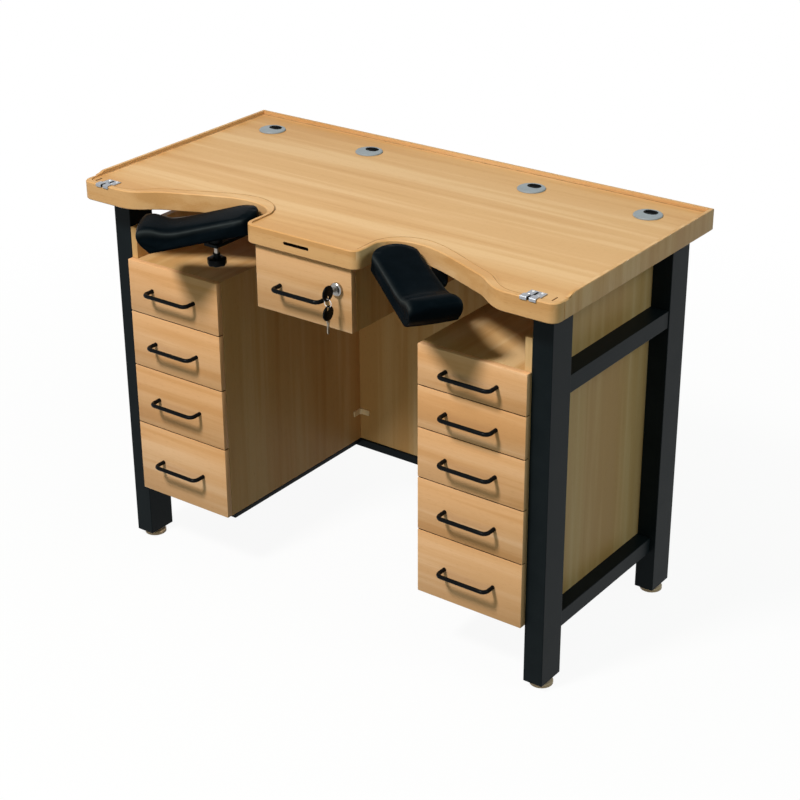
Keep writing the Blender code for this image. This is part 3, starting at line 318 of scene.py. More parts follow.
def beech(name, grain, edge_grain, dark, middle, light, offset, hollow=None, gap=None):
    """Lacquered beech: broad bands, streaks, fine fibres and short flecks, all along the grain.

    A hollow is a box of coordinates painted dark as shade, and a gap is how near another piece must come for
    painted shade to darken the surface.
    """
    finish = Finish(name, specular=0.15)
    normal = finish.axes(finish.coords.outputs["Normal"])
    on_end = finish.math("GREATER_THAN", finish.math("ABSOLUTE", normal[grain]), END_FACE)
    choose = finish.tree.nodes.new("ShaderNodeMix")
    choose.data_type = "VECTOR"
    finish.link(on_end, choose.inputs[0])
    finish.link(turned(finish, grain, offset), choose.inputs[4])
    finish.link(turned(finish, edge_grain, offset), choose.inputs[5])
    along = choose.outputs[1]
    bands = finish.noise(finish.stretched(BANDS, along), 1.0, 2.0, 0.5, 0.35)
    streaks = finish.noise(finish.stretched(STREAKS, along), 1.0, 2.5, 0.55, 0.25)
    fibres = finish.noise(finish.stretched(FIBRES, along), 1.0, 2.0, 0.6)
    flecks = finish.noise(finish.stretched(FLECKS, along), 1.0, 1.0, 0.5)
    broad = finish.math("MULTIPLY", bands, BAND_SHARE)
    tone = finish.math("ADD", broad, finish.math("MULTIPLY", streaks, STREAK_SHARE))
    tone = finish.math("ADD", tone, finish.math("MULTIPLY", fibres, FIBRE_SHARE))
    colour = finish.ramp(tone, (DARK_STOP, dark), (MIDDLE_STOP, middle), (LIGHT_STOP, light))
    fleck = finish.ramp(flecks, (0.62, (1, 1, 1)), (0.72, FLECK_TINT))
    colour = finish.mix(FLECK_SHARE, colour, fleck, "MULTIPLY")
    # Painted shade: the box of the hollow is coloured near black
    if hollow:
        colour = finish.mix(within(finish, *hollow), colour, HOLLOW_SHADE)
    # Painted shade: the surface darkens where another piece is near
    if gap:
        near = finish.tree.nodes.new("ShaderNodeAmbientOcclusion")
        near.samples = GAP_SAMPLES
        near.inputs["Distance"].default_value = gap
        painted_gap_shade = finish.ramp(near.outputs["AO"], (0.25, GAP_SHADE_TINT), (0.75, (1, 1, 1)))
        colour = finish.mix(1.0, colour, painted_gap_shade, "MULTIPLY")
    finish.colour(colour)
    finish.rough(finish.span(streaks, 0.36, 0.54))
    finish.bump(finish.math("ADD", fibres, finish.math("MULTIPLY", flecks, -0.6)), 0.06, 0.0004)
    return finish.material


def black_steel(name, base, tint, roughness, specular, grain=700.0):
    """Powder coat: near black with a fine pebble and slight variation in tone."""
    finish = Finish(name, roughness, 0.0, specular)
    cloud = finish.noise(finish.place, 14.0, 3.0, 0.6)
    pebble = finish.noise(finish.place, grain, 2.0, 0.5)
    finish.colour(finish.ramp(cloud, (0.3, base), (0.7, tint)))
    finish.rough(finish.span(cloud, roughness - 0.05, roughness + 0.08))
    finish.bump(pebble, 0.12, 0.0003)
    return finish.material


def bright_metal(name, base, roughness, brushed=None):
    """Plated steel, with fine brushing along one axis where it is given."""
    finish = Finish(name, roughness, 1.0)
    scale = (900.0, 900.0, 900.0) if brushed is None else brushed
    lines = finish.noise(finish.stretched(scale), 1.0, 3.0, 0.6)
    smudge = finish.noise(finish.place, 60.0, 3.0, 0.6)
    low = tuple(value * 0.82 for value in base)
    finish.colour(finish.ramp(lines, (0.3, low), (0.7, base)))
    finish.rough(finish.span(smudge, roughness * 0.75, roughness * 1.4))
    finish.bump(lines, 0.05, 0.0001)
    return finish.material


def plastic(name, base, roughness, speckle=0.12, specular=0.45):
    """Moulded plastic with a fine texture."""
    finish = Finish(name, roughness, 0.0, specular)
    cloud = finish.noise(finish.place, 40.0, 3.0, 0.6)
    texture = finish.noise(finish.place, 1500.0, 2.0, 0.6)
    low = tuple(value * (1 - speckle) for value in base)
    high = tuple(min(value * (1 + speckle), 1.0) for value in base)
    finish.colour(finish.ramp(cloud, (0.3, low), (0.7, high)))
    finish.rough(finish.span(texture, roughness - 0.06, roughness + 0.08))
    finish.bump(texture, 0.08, 0.0002)
    return finish.material


# Inside of a grommet, painted dark as shade, in shares of its box: square of the distance from its axis, and
# height
GROMMET_NEAR, GROMMET_BELOW = 0.2, 0.985


def grommet_plastic(name, base, dark):
    """Moulded plastic, with painted shade inside the cable opening."""
    finish = Finish(name, 0.45, 0.0, 0.4)
    share = finish.axes(finish.coords.outputs["Generated"])
    across = finish.math("POWER", finish.math("SUBTRACT", share["X"], 0.5), 2.0)
    along = finish.math("POWER", finish.math("SUBTRACT", share["Y"], 0.5), 2.0)
    near = finish.math("LESS_THAN", finish.math("ADD", across, along), GROMMET_NEAR)
    below = finish.math("LESS_THAN", share["Z"], GROMMET_BELOW)
    cloud = finish.noise(finish.place, 40.0, 3.0, 0.6)
    texture = finish.noise(finish.place, 1500.0, 2.0, 0.6)
    colour = finish.ramp(cloud, (0.3, tuple(value * 0.9 for value in base)), (0.7, base))
    # Painted shade: near black inside the opening
    finish.colour(finish.mix(finish.math("MULTIPLY", near, below), colour, dark))
    finish.rough(finish.span(texture, 0.38, 0.52))
    finish.bump(texture, 0.08, 0.0002)
    return finish.material


COVER_DARK, COVER_LIGHT = (0.0016, 0.0034, 0.0050), (0.0024, 0.0046, 0.0068)
# Painted highlight along the upper edges of the cover
COVER_EDGE_HIGHLIGHT = (0.036, 0.041, 0.043)


def leatherette(name):
    """Soft black cover with a fine pebbled grain, painted paler along the upper edges as a highlight."""
    finish = Finish(name, 0.3, 0.0, 0.0045)
    edge_highlight = finish.tree.nodes.new("ShaderNodeAttribute")
    edge_highlight.attribute_name = "edge_highlight"
    wave = finish.noise(finish.place, 35.0, 3.0, 0.6)
    pebble = finish.cells(finish.place, 620.0)
    fine = finish.noise(finish.place, 1400.0, 2.0, 0.6)
    black = finish.ramp(wave, (0.3, COVER_DARK), (0.7, COVER_LIGHT))
    # Painted highlight: paler colour along the marked upper edges
    edge_highlight_share = finish.math("POWER", edge_highlight.outputs["Fac"], 2.0)
    painted_highlight = finish.math("MULTIPLY", edge_highlight_share, finish.span(wave, 0.5, 1.3), True)
    finish.colour(finish.mix(painted_highlight, black, COVER_EDGE_HIGHLIGHT))
    finish.rough(finish.span(wave, 0.22, 0.30))
    finish.bump(finish.math("ADD", pebble, finish.math("MULTIPLY", fine, 0.25)), 0.10, 0.0006)
    return finish.material


# CAD pieces: their finish, and edges softened for the light to catch. Angles in degrees
ROUND_LIMIT, FLAT_LIMIT, BEVEL_LIMIT = 50, 32, 70
WELD_REACH, BEVEL_SEGMENTS = 0.00001, 2


def sharp_edges(limit):
    """A node group that shades smoothly across edges up to the limit, and leaves steeper ones sharp."""
    name = f"smooth_to_{limit}"
    if name in bpy.data.node_groups:
        return bpy.data.node_groups[name]
    group = bpy.data.node_groups.new(name, "GeometryNodeTree")
    group.interface.new_socket("Geometry", in_out="INPUT", socket_type="NodeSocketGeometry")
    group.interface.new_socket("Geometry", in_out="OUTPUT", socket_type="NodeSocketGeometry")
    came = group.nodes.new("NodeGroupInput")
    went = group.nodes.new("NodeGroupOutput")
    angle = group.nodes.new("GeometryNodeInputMeshEdgeAngle")
    gentle = group.nodes.new("FunctionNodeCompare")
    gentle.operation = "LESS_EQUAL"
    gentle.inputs["B"].default_value = math.radians(limit)
    faces = group.nodes.new("GeometryNodeSetShadeSmooth")
    edges = group.nodes.new("GeometryNodeSetShadeSmooth")
    edges.domain = "EDGE"
    group.links.new(came.outputs[0], faces.inputs["Geometry"])
    group.links.new(faces.outputs[0], edges.inputs["Geometry"])
    group.links.new(angle.outputs["Unsigned Angle"], gentle.inputs["A"])
    group.links.new(gentle.outputs[0], edges.inputs["Shade Smooth"])
    group.links.new(edges.outputs[0], went.inputs[0])
    return group


def soften(obj, width, limit):
    """Modifiers only: the node's own vertices stay as they are."""
    flat_normals = obj.data.attributes.get("custom_normal")
    if flat_normals:
        obj.data.attributes.remove(flat_normals)
    obj.data.shade_smooth()
    weld = obj.modifiers.new("weld", "WELD")
    weld.merge_threshold = WELD_REACH
    shading = obj.modifiers.new("shading", "NODES")
    shading.node_group = sharp_edges(limit)
    if width:
        edges = obj.modifiers.new("edges", "BEVEL")
        edges.width = width
        edges.segments = BEVEL_SEGMENTS
        edges.limit_method = "ANGLE"
        edges.angle_limit = math.radians(BEVEL_LIMIT)
        edges.harden_normals = True


def arm_base_finish():
    """Black plate above, bright spindle below."""
    finish = Finish("arm_base", 0.35, 0.0, 0.08)
    height = finish.axes(finish.place)["Z"]
    spindle = finish.math("LESS_THAN", height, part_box("left_arm_bracket")[0].z)
    cloud = finish.noise(finish.place, 60.0, 3.0, 0.6)
    black = finish.ramp(cloud, (0.3, (0.0040, 0.0055, 0.0065)), (0.7, (0.0065, 0.0085, 0.0100)))
    steel = finish.ramp(cloud, (0.3, (0.26, 0.24, 0.21)), (0.7, (0.36, 0.33, 0.29)))
    finish.colour(finish.mix(spindle, black, steel))
    finish.link(spindle, finish.shader.inputs["Metallic"])
    finish.bump(finish.noise(finish.place, 800.0, 2.0, 0.5), 0.06, 0.0002)
    return finish.material


# Tones of the beech, and every finish by its key
BEECH_DARK = (0.612, 0.320, 0.120)
BEECH_MIDDLE = (0.682, 0.391, 0.172)
BEECH_LIGHT = (0.750, 0.470, 0.238)
# Painted shade in the gaps between drawer fronts
FRONT_GAP = 0.006  # how near a neighbour darkens a drawer front
# Inside of the bench pin's slot, painted dark as shade: its low and high corner
PIN_SLOT = ((-0.0408, TOP_LOW.y + 0.0006, 0.8642), (0.0248, TOP_LOW.y + 0.05, 0.8718))


def shaded(shares):
    """The three beech tones, each channel times its share. The shares paint light onto the drawer fronts and
    shade onto the panels.
    """
    tones = (BEECH_DARK, BEECH_MIDDLE, BEECH_LIGHT)
    return [tuple(value * share for value, share in zip(tone, shares)) for tone in tones]


MADE = {
    "top": beech("beech_top", "X", "Y", BEECH_DARK, BEECH_MIDDLE, BEECH_LIGHT, (0.3, 0.462, 0.776), PIN_SLOT),
    # Painted light and shade: the drawer fronts lighter than the top for the light their upright faces miss,
    # the centre drawer less so, and the panels a little darker and greener for the shade they stand in
    "front": beech("beech_front", "X", "Z", *shaded((1.21, 1.18, 1.30)), (2.1, 2.25, 0.615), gap=FRONT_GAP),
    "centre": beech("beech_centre", "X", "Z", *shaded((1.02, 1.04, 1.18)), (0.6, 1.3, 0.9)),
    "panel": beech("beech_panel", "Z", "Y", *shaded((0.95, 1.0, 0.975)), (0.9, 2.16, 3.454)),
    "steel": black_steel("black_steel", (0.0036, 0.0066, 0.0082), (0.0060, 0.0094, 0.0112), 0.42, 0.06),
    "lacquer": black_steel(
        "black_lacquer", (0.0030, 0.0040, 0.0050), (0.0045, 0.0055, 0.0065), 0.20, 0.045, 300.0
    ),
    "bright": bright_metal("bright_steel", (0.86, 0.86, 0.85), 0.20),
    "plate": bright_metal("plate_steel", (0.40, 0.42, 0.45), 0.33, (1400.0, 40.0, 1400.0)),
    "chrome": bright_metal("lock_chrome", (0.34, 0.33, 0.31), 0.22),
    "plug": bright_metal("lock_plug", (0.26, 0.25, 0.24), 0.28),
    "key_steel": bright_metal("key_steel", (0.40, 0.37, 0.31), 0.30, (1200.0, 1200.0, 60.0)),
    "grey": grommet_plastic("grey_plastic", (0.27, 0.30, 0.335), (0.004, 0.005, 0.006)),
    "foot": plastic("foot_plastic", (0.64, 0.44, 0.28), 0.5),
    "brace": plastic("brace_plastic", (0.90, 0.68, 0.42), 0.5),
    # Colours of the short dark strips at the sides, and of the beads that paint the shade of the rim's groove
    # and of the lip's inner foot
    "seam": plastic("side_dark_strip_plastic", (0.20, 0.100, 0.040), 0.6, 0.25, 0.1),
    "groove": plastic("groove_shade_bead", (0.40, 0.215, 0.088), 0.6, 0.2, 0.1),
    "edge": beech("beech_edge", "Z", "Y", *shaded((1.0, 1.0, 1.06)), (1.4, 0.8, 0.2)),
    "black": plastic("black_plastic", (0.0035, 0.0048, 0.0060), 0.24, 0.12, 0.05),
    # Near black of the strips and rims that paint shade in the plate slots and the grommet openings
    "liner": plastic("shade_strip_rubber", (0.006, 0.0055, 0.005), 0.55, 0.2, 0.03),
    "arm_base": arm_base_finish(),
    "leatherette": leatherette("black_leatherette"),
}


# Width of the softened edges of each finish, and of the lip. The others keep the edges of the CAD
SOFT_EDGES = {
    "front": 0.0006,
    "centre": 0.0006,
    "panel": 0.0006,
    "arm_base": 0.0006,
    "plate": 0.0004,
    "chrome": 0.0005,
    "plug": 0.0005,
    "black": 0.0005,
    "foot": 0.0008,
    "brace": 0.0008,
    "steel": 0.0014,
}
LIP_EDGE = 0.0012


def finish_of(name):
    """Key into MADE for a CAD node."""
    if name in ("worktop", "lip_rail"):
        return "top"
    if "arm_base" in name:
        return "arm_base"
    if "handle" in name:
        return "lacquer"
    if "accessory_plate" in name:
        return "plate"
    if name.startswith("lock"):
        return "plug" if name == "lock_cam" else "chrome"
    if "grommet" in name:
        return "grey"
    if name.endswith("foot"):
        return "foot"
    if name == "corner_brace":
        return "brace"
    if "knob" in name or "key" in name:
        return "black"
    if name.endswith(("leg", "rail", "frame", "bracket")):
        return "steel"
    if name == "centre_drawer":
        return "centre"
    if "_drawer" in name and "housing" not in name:
        return "front"
    return "panel"


def dress_nodes():
    for name, obj in NODES.items():
        key = finish_of(name)
        obj.data.materials.clear()
        obj.data.materials.append(MADE[key])
        width = LIP_EDGE if name == "lip_rail" else SOFT_EDGES.get(key, 0.0)
        soften(obj, width, ROUND_LIMIT if "handle" in name or "knob" in name else FLAT_LIMIT)


# Helpers for the added pieces
SAME_PLACE = 0.000001


def add_piece(name, mesh, finish, body, matrix=None):
    mesh.materials.clear()
    mesh.materials.append(MADE[finish])
    obj = bpy.data.objects.new(name, mesh)
    scene.collection.objects.link(obj)
    if matrix is not None:
        obj.matrix_world = matrix
    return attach(obj, body)


def cleaned(shape, name):
    bmesh.ops.remove_doubles(shape, verts=shape.verts, dist=SAME_PLACE)
    bmesh.ops.recalc_face_normals(shape, faces=shape.faces)
    mesh = bpy.data.meshes.new(name)
    shape.to_mesh(mesh)
    shape.free()
    mesh.shade_smooth()
    return mesh


def evaluated_mesh(obj):
    bpy.context.view_layer.update()
    graph = bpy.context.evaluated_depsgraph_get()
    return bpy.data.meshes.new_from_object(obj.evaluated_get(graph))


def curve_mesh(name, outlines, closed=True, **settings):
    """The mesh of a curve object with straight-edged outlines."""
    curve = bpy.data.curves.new(name, "CURVE")
    for key, value in settings.items():
        setattr(curve, key, value)
    for outline in outlines:
        spline = curve.splines.new("POLY")
        spline.points.add(len(outline) - 1)
        for point, place in zip(spline.points, outline):
            point.co = (*place, 0.0)[:3] + (1.0,)
        spline.use_cyclic_u = closed
    holder = bpy.data.objects.new(name, curve)
    scene.collection.objects.link(holder)
    made = evaluated_mesh(holder)
    bpy.data.objects.remove(holder)
    shape = bmesh.new()
    shape.from_mesh(made)
    bpy.data.meshes.remove(made)
    return cleaned(shape, name)


def plate_mesh(name, outlines, thickness, edge):
    """A flat plate about the XY plane with rounded edges. Outlines after the first are holes."""
    return curve_mesh(
        name,
        outlines,
        dimensions="2D",
        fill_mode="BOTH",
        extrude=thickness / 2 - edge,
        bevel_depth=edge,
        bevel_resolution=3,
        offset=-edge,
    )


def ring_mesh(name, path, radius, closed=True):
    """A round wire along a path, closed in a ring or with flat ends."""
    return curve_mesh(
        name,
        [path],
        closed,
        dimensions="3D",
        bevel_depth=radius,
        bevel_resolution=4,
        use_fill_caps=not closed,
    )


def oval(centre, radii, count=40):
    turns = (2 * math.pi * step / count for step in range(count))
    return [(centre[0] + radii[0] * math.cos(turn), centre[1] + radii[1] * math.sin(turn)) for turn in turns]


def stadium(centre, straight, radius, count=12):
    points = []
    for side, start in ((1, -90), (-1, 90)):
        for step in range(count + 1):
            turn = math.radians(start + 180 * step / count)
            middle = centre[0] + side * straight
            points.append((middle + radius * math.cos(turn), centre[1] + radius * math.sin(turn)))
    return points


def joint_place(name):
    return next(Vector(joint["pos_m"]) for joint in frame["joints"] if joint["name"] == name)


# Arm pads: the moulded form, swollen a little as foam under its cover
PAD_YAW, PAD_SLOPE = math.radians(34.2), math.radians(12.1)
PAD_OUTER, PAD_INNER, PAD_ROUND = 0.1395, 0.1055, 0.053
PAD_HALF, PAD_INNER_HALF = 0.0565, 0.0512
PAD_OFFSET, PAD_INNER_OFFSET = 0.008, 0.013
PAD_THICKNESS, PAD_CROWN, PAD_LIP, PAD_LIP_RUN = 0.0345, 0.003, 0.020, 0.055
PAD_FLARE, PAD_WAIST, PAD_END_BOW = 0.024, 0.003, 0.004
PAD_ROUND_SHARE, PAD_FLARE_TURN, PAD_LIP_RISE = 0.95, 0.72, 0.8
PAD_ALONG = (0.0, 0.06, 0.2, 0.38, 0.55, 0.7, 0.8, 0.88, 0.95, 1.0)
PAD_ACROSS = (-1.0, -0.8, -0.35, 0.35, 0.8, 1.0)
PAD_UP = (0.0, 0.12, 0.6, 1.0)
COVER_SHRINK, COVER_TRAVEL, COVER_PRESSURE, COVER_FRAMES = 0.0012, 0.0024, 4.0, 20
# The cover is held where its normal points down by more than HELD_BELOW, and comes free over HELD_FADE
HELD_BELOW, HELD_FADE = 0.75, 0.45


def pad_point(along, across, up, sign):
    """A point of the pad from its shares of length, width and height."""
    inner = PAD_ROUND * (1 - math.sqrt(1 - (PAD_ROUND_SHARE * across) ** 2)) - PAD_INNER
    flare = PAD_FLARE * math.sin(math.pi * PAD_FLARE_TURN * up) ** 2
    outer = PAD_OUTER - PAD_END_BOW * across * across + flare * along**4
    u = inner + (outer - inner) * along
    half = PAD_INNER_HALF + (PAD_HALF - PAD_INNER_HALF) * along
    half -= PAD_WAIST * math.sin(math.pi * along) * math.sin(math.pi * up)
    offset = PAD_INNER_OFFSET + (PAD_OFFSET - PAD_INNER_OFFSET) * along
    share = min(max((u - PAD_OUTER + PAD_LIP_RUN) / (PAD_LIP_RUN * PAD_LIP_RISE), 0.0), 1.0)
    lip = PAD_LIP * share * share * (3 - 2 * share)
    height = PAD_THICKNESS + PAD_CROWN * (1 - across * across) + lip
    return Vector((u, sign * (across * half - offset), height * up))


def pad_cage(name, sign):
    """Coarse closed cage of the pad, with the upper edges marked for the painted highlight."""
    counts = (len(PAD_ALONG), len(PAD_ACROSS), len(PAD_UP))
    shape = bmesh.new()
    edge_highlight = shape.verts.layers.float.new("edge_highlight")
    found = {}

    def corner(i, j, k):
        if (i, j, k) not in found:
            found[i, j, k] = shape.verts.new(pad_point(PAD_ALONG[i], PAD_ACROSS[j], PAD_UP[k], sign))
            on_edge = k == counts[2] - 1 and j in (0, counts[1] - 1)
            found[i, j, k][edge_highlight] = 1.0 if on_edge else 0.0
        return found[i, j, k]

    for axis in range(3):
        first, second = [other for other in range(3) if other != axis]
        for end in (0, counts[axis] - 1):
            for a in range(counts[first] - 1):
                for b in range(counts[second] - 1):
                    ring = []
                    for da, db in ((0, 0), (1, 0), (1, 1), (0, 1)):
                        place = [0, 0, 0]
                        place[axis], place[first], place[second] = end, a + da, b + db
                        ring.append(corner(*place))
                    shape.faces.new(ring)
    return cleaned(shape, name)


def swell(obj):
    """Cloth under pressure, from a slightly smaller start. The underside keeps its place."""
    mesh = obj.data
    full = [vertex.co.copy() for vertex in mesh.vertices]
    normals = [vertex.normal.copy() for vertex in mesh.vertices]
    free = [min(max((normal.z + HELD_BELOW) / HELD_FADE, 0.0), 1.0) for normal in normals]
    held = obj.vertex_groups.new(name="held")
    for index, share in enumerate(free):
        mesh.vertices[index].co = full[index] - normals[index] * COVER_SHRINK * share
        held.add([index], 1.0 - share, "REPLACE")
    start = [vertex.co.copy() for vertex in mesh.vertices]
    cloth = obj.modifiers.new("cover", "CLOTH")
    cloth.settings.use_pressure = True
    cloth.settings.uniform_pressure_force = COVER_PRESSURE
    cloth.settings.quality = 6
    cloth.settings.vertex_group_mass = "held"
    cloth.settings.effector_weights.gravity = 0.0
    cloth.collision_settings.use_self_collision = False
    cloth.point_cache.frame_start = 1
    cloth.point_cache.frame_end = COVER_FRAMES
    for number in range(1, COVER_FRAMES + 1):
        scene.frame_set(number)
    swollen = evaluated_mesh(obj)
    moved = [vertex.co.copy() for vertex in swollen.vertices]
    obj.modifiers.remove(cloth)
    bpy.data.meshes.remove(swollen)
    scene.frame_set(1)
    for index, vertex in enumerate(mesh.vertices):
        step = moved[index] - start[index]
        if step.length > COVER_TRAVEL:
            step *= COVER_TRAVEL / step.length
        vertex.co = start[index] + step * free[index]


def make_pads():
    for side, sign in SIDES.items():
        name = f"{side}_pad_cover"
        rough = bpy.data.objects.new(f"{name}_cage", pad_cage(f"{name}_cage", sign))
        scene.collection.objects.link(rough)
        finer = rough.modifiers.new("finer", "SUBSURF")
        finer.levels = finer.render_levels = 3
        mesh = evaluated_mesh(rough)
        bpy.data.objects.remove(rough)
        mesh.name = name
        turn = -PAD_YAW if sign > 0 else math.pi + PAD_YAW
        matrix = Matrix.Translation(joint_place(f"{side}_arm_swivel"))
        matrix = matrix @ Matrix.Rotation(turn, 4, "Z") @ Matrix.Rotation(PAD_SLOPE, 4, "Y")
        pad = add_piece(name, mesh, "leatherette", f"{side}_arm_body")
        swell(pad)
        mesh.transform(matrix)
        mesh.shade_smooth()
        smoother = pad.modifiers.new("smoother", "SUBSURF")
        smoother.levels = smoother.render_levels = 1
        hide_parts(f"{side}_arm_pad")


# Keys: moulded heads on steel blades, joined by a steel ring
UPRIGHT = Matrix(((0, 0, 1, 0), (1, 0, 0, 0), (0, 1, 0, 0), (0, 0, 0, 1)))  # plate's X, Y and Z to Y, Z and X
BOW, BOW_WIDE, BOW_THICK, BOW_EDGE, HOLE, KEY_RIM = 0.0162, 0.0162, 0.0036, 0.0012, 0.0042, 0.0024
SHANK, BLADE_WIDE, BLADE_THICK, SPARE_BLADE = 0.0068, 0.0070, 0.0022, 0.0285
STEM_LAP, STEM_REACH, STEM_TIP, STEM_EDGE = 0.003, 0.012, 0.014, 0.0004
SHOULDER, SHOULDER_WIDER, BLADE_LAP, BLADE_EDGE = 0.004, 0.0012, 0.004, 0.0003
CUTS, CUT_DEEPEST, CUT_MARGIN = (0.35, 0.9, 0.5, 1.0, 0.25, 0.7), 0.0026, 0.003
CUT_IN, CUT_FLAT, CUT_OUT = 0.35, 0.6, 0.95  # shares of the run of one cut
TIP_NARROWER, TIP_RUN = 0.002, 0.003
RING, RING_WIRE, RING_DROP, SPARE_DROP = 0.0084, 0.0008, 0.00545, 0.02725


def key_blade():
    """Outline of the spare key's blade along -Y from 0, with cuts in one edge and a wider shoulder."""
    half, wide = BLADE_WIDE / 2, BLADE_WIDE / 2 + SHOULDER_WIDER
    outline = [(-wide, BLADE_LAP), (wide, BLADE_LAP), (wide, -SHOULDER), (half, -SHOULDER)]
    run = (SPARE_BLADE - SHOULDER - 2 * CUT_MARGIN) / len(CUTS)
    for number, depth in enumerate(CUTS):
        at = -SHOULDER - CUT_MARGIN - run * number
        bottom = half - CUT_DEEPEST * depth
        outline += [(half, at), (bottom, at - run * CUT_IN)]
        outline += [(bottom, at - run * CUT_FLAT), (half, at - run * CUT_OUT)]
    tip = half - TIP_NARROWER
    outline += [(tip, -SPARE_BLADE), (-tip, -SPARE_BLADE), (-half, TIP_RUN - SPARE_BLADE)]
    return outline + [(-half, -SHOULDER), (-wide, -SHOULDER)]


def key_head(name, hole, body, middle):
    """A moulded head about its middle, with the hole for the ring above or below that."""
    outlines = [oval((0, 0), (BOW_WIDE, BOW)), oval((0, hole), (HOLE, HOLE), 24)]
    mesh = plate_mesh(name, outlines, BOW_THICK, BOW_EDGE)
    return add_piece(name, mesh, "black", body, Matrix.Translation(middle) @ UPRIGHT)


def make_keys():
    hole = BOW - KEY_RIM - HOLE
    bow = joint_place("lock_turn") + Vector((0, -SHANK - BOW, 0))
    head = key_head("key_head", -hole, "lock_body", bow)
    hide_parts("key")
    half, near, far = BLADE_WIDE / 2, BOW_WIDE - STEM_LAP, BOW + SHANK + STEM_REACH
    stem = [(near, -half), (far, -half), (BOW + SHANK + STEM_TIP, 0.0), (far, half), (near, half)]
    mesh = plate_mesh("key_stem", [stem], BLADE_THICK, STEM_EDGE)
    add_piece("key_stem", mesh, "key_steel", "lock_body", Matrix.Translation(bow) @ UPRIGHT)
    pivot = joint_place("spare_key_swing")
    middle = pivot - Vector((0, 0, SPARE_DROP))
    head = key_head("spare_key_head", hole, "spare_key_body", middle)
    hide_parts("spare_key")
    mesh = plate_mesh("spare_blade", [key_blade()], BLADE_THICK, BLADE_EDGE)
    place = Matrix.Translation(middle - Vector((0, 0, BOW))) @ UPRIGHT
    add_piece("spare_key_blade", mesh, "key_steel", "spare_key_body", place)
    path = [(x, 0.0, z - RING_DROP) for x, z in oval((0, 0), (RING, RING), 48)]
    mesh = ring_mesh("key_ring", path, RING_WIRE)
    add_piece("key_ring", mesh, "bright", "spare_key_body", Matrix.Translation(pivot))


# Screws of the accessory plates and the brackets. The form of a head is in shares of its radius and height
PLATE_THICKNESS = 0.002
SCREW_RADIUS, SCREW_HEIGHT, SCREW_SIDE, SCREW_ROWS = 0.0030, 0.0016, 0.0101, (0.0055, 0.0225)
FIRST_TURN, TURN_STEP = 17, 31
BRACKET_SCREW_RADIUS, BRACKET_SCREW_HEIGHT = 0.0050, 0.0026
BRACKET_SCREW_ROWS, BRACKET_DROP = (0.018, 0.088), 0.007
HEAD_RINGS, HEAD_SIDES = 14, 40
DOME_FOOT, DOME_POWER, COLLAR = 0.45, 2.6, 0.2
CROSS_WIDTH, CROSS_REACH, CROSS_FLOOR, CROSS_MIDDLE = 0.13, 0.62, 0.35, 0.45


def screw_mesh(name, radius, height):
    """A domed head with a cross recess, on a short collar."""
    shape = bmesh.new()
    top = shape.verts.new((0, 0, height * CROSS_MIDDLE))
    loops = []
    for ring in range(1, HEAD_RINGS + 1):
        share = ring / HEAD_RINGS
        dome = height * (DOME_FOOT + (1 - DOME_FOOT) * math.sqrt(max(1 - share**DOME_POWER, 0.0)))
        loop = []
        for side in range(HEAD_SIDES):
            turn = 2 * math.pi * side / HEAD_SIDES
            x, y = share * math.cos(turn), share * math.sin(turn)
            inside = min(abs(x), abs(y)) < CROSS_WIDTH and max(abs(x), abs(y)) < CROSS_REACH
            loop.append(shape.verts.new((radius * x, radius * y, height * CROSS_FLOOR if inside else dome)))
        loops.append(loop)
    loops.append([shape.verts.new((vertex.co.x, vertex.co.y, -height * COLLAR)) for vertex in loops[-1]])
    for side in range(HEAD_SIDES):
        after = (side + 1) % HEAD_SIDES
        shape.faces.new((top, loops[0][side], loops[0][after]))
        for near, far in zip(loops, loops[1:]):
            shape.faces.new((near[side], far[side], far[after], near[after]))
    shape.faces.new(reversed(loops[-1]))
    return cleaned(shape, name)


def make_screws():
    head = screw_mesh("screw_head", SCREW_RADIUS, SCREW_HEIGHT)
    level = TOP_HIGH.z - RECESS + CLEARANCE + PLATE_THICKNESS
    places = [(x, y) for y in SCREW_ROWS for x in (-SCREW_SIDE, SCREW_SIDE)]
    upside_down = Matrix.Rotation(math.pi, 4, "X")
    for side in SIDES:
        low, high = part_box(f"{side}_accessory_plate")
        middle = (low.x + high.x) / 2
        for number, (x, y) in enumerate(places, 1):
            name = f"{side}_plate_screw_{number}"
            place = Matrix.Translation((middle + x, high.y - y, level))
            turn = Matrix.Rotation(math.radians(FIRST_TURN + TURN_STEP * number), 4, "Z")
            add_piece(name, head.copy(), "bright", "bench", place @ turn)
        low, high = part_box(f"{side}_arm_bracket")
        middle = (low.x + high.x) / 2
        for number, y in enumerate(BRACKET_SCREW_ROWS, 1):
            name = f"{side}_bracket_screw_{number}"
            place = Matrix.Translation((middle, high.y - y, high.z - BRACKET_DROP)) @ upside_down
            mesh = screw_mesh("bracket_screw", BRACKET_SCREW_RADIUS, BRACKET_SCREW_HEIGHT)
            add_piece(name, mesh, "bright", "bench", place)


# Beads painted dark as shade along the raised rim of the scoops, where a groove runs, and along the inner
# foot of the lip; and a short dark strip near the front of each side.
# Places in plan are from the middle of the bench and back from its front edge
NOSE_SIDE, NOSE_START, NOSE_END = 0.134, 0.016, 0.063
SCOOP_MIDDLE, SCOOP_BACK = 0.216, 0.136
SLOPE, WING, PLATE_SIDE = (0.4075, 0.0646), (0.501, 0.011), 0.519
SIDE_STRIP_X, SIDE_START, SIDE_END = 0.5785, 0.0205, 0.0385
LIP_WIDTH, LIP_START = 0.007, 0.055
SEAM_RADIUS, SEAM_SINK = 0.0009, 0.0003
WIDE_SEAM = SEAM_RADIUS * 1.5
# Handles of the cubic curves, in shares of their runs, and the gradient of the slope
ROUND_HANDLE, SCOOP_HANDLE, WING_HANDLE = 0.552, 0.28, 0.45
SLOPE_IN, SLOPE_OUT, GRADIENT = 0.38, 0.33, 0.4


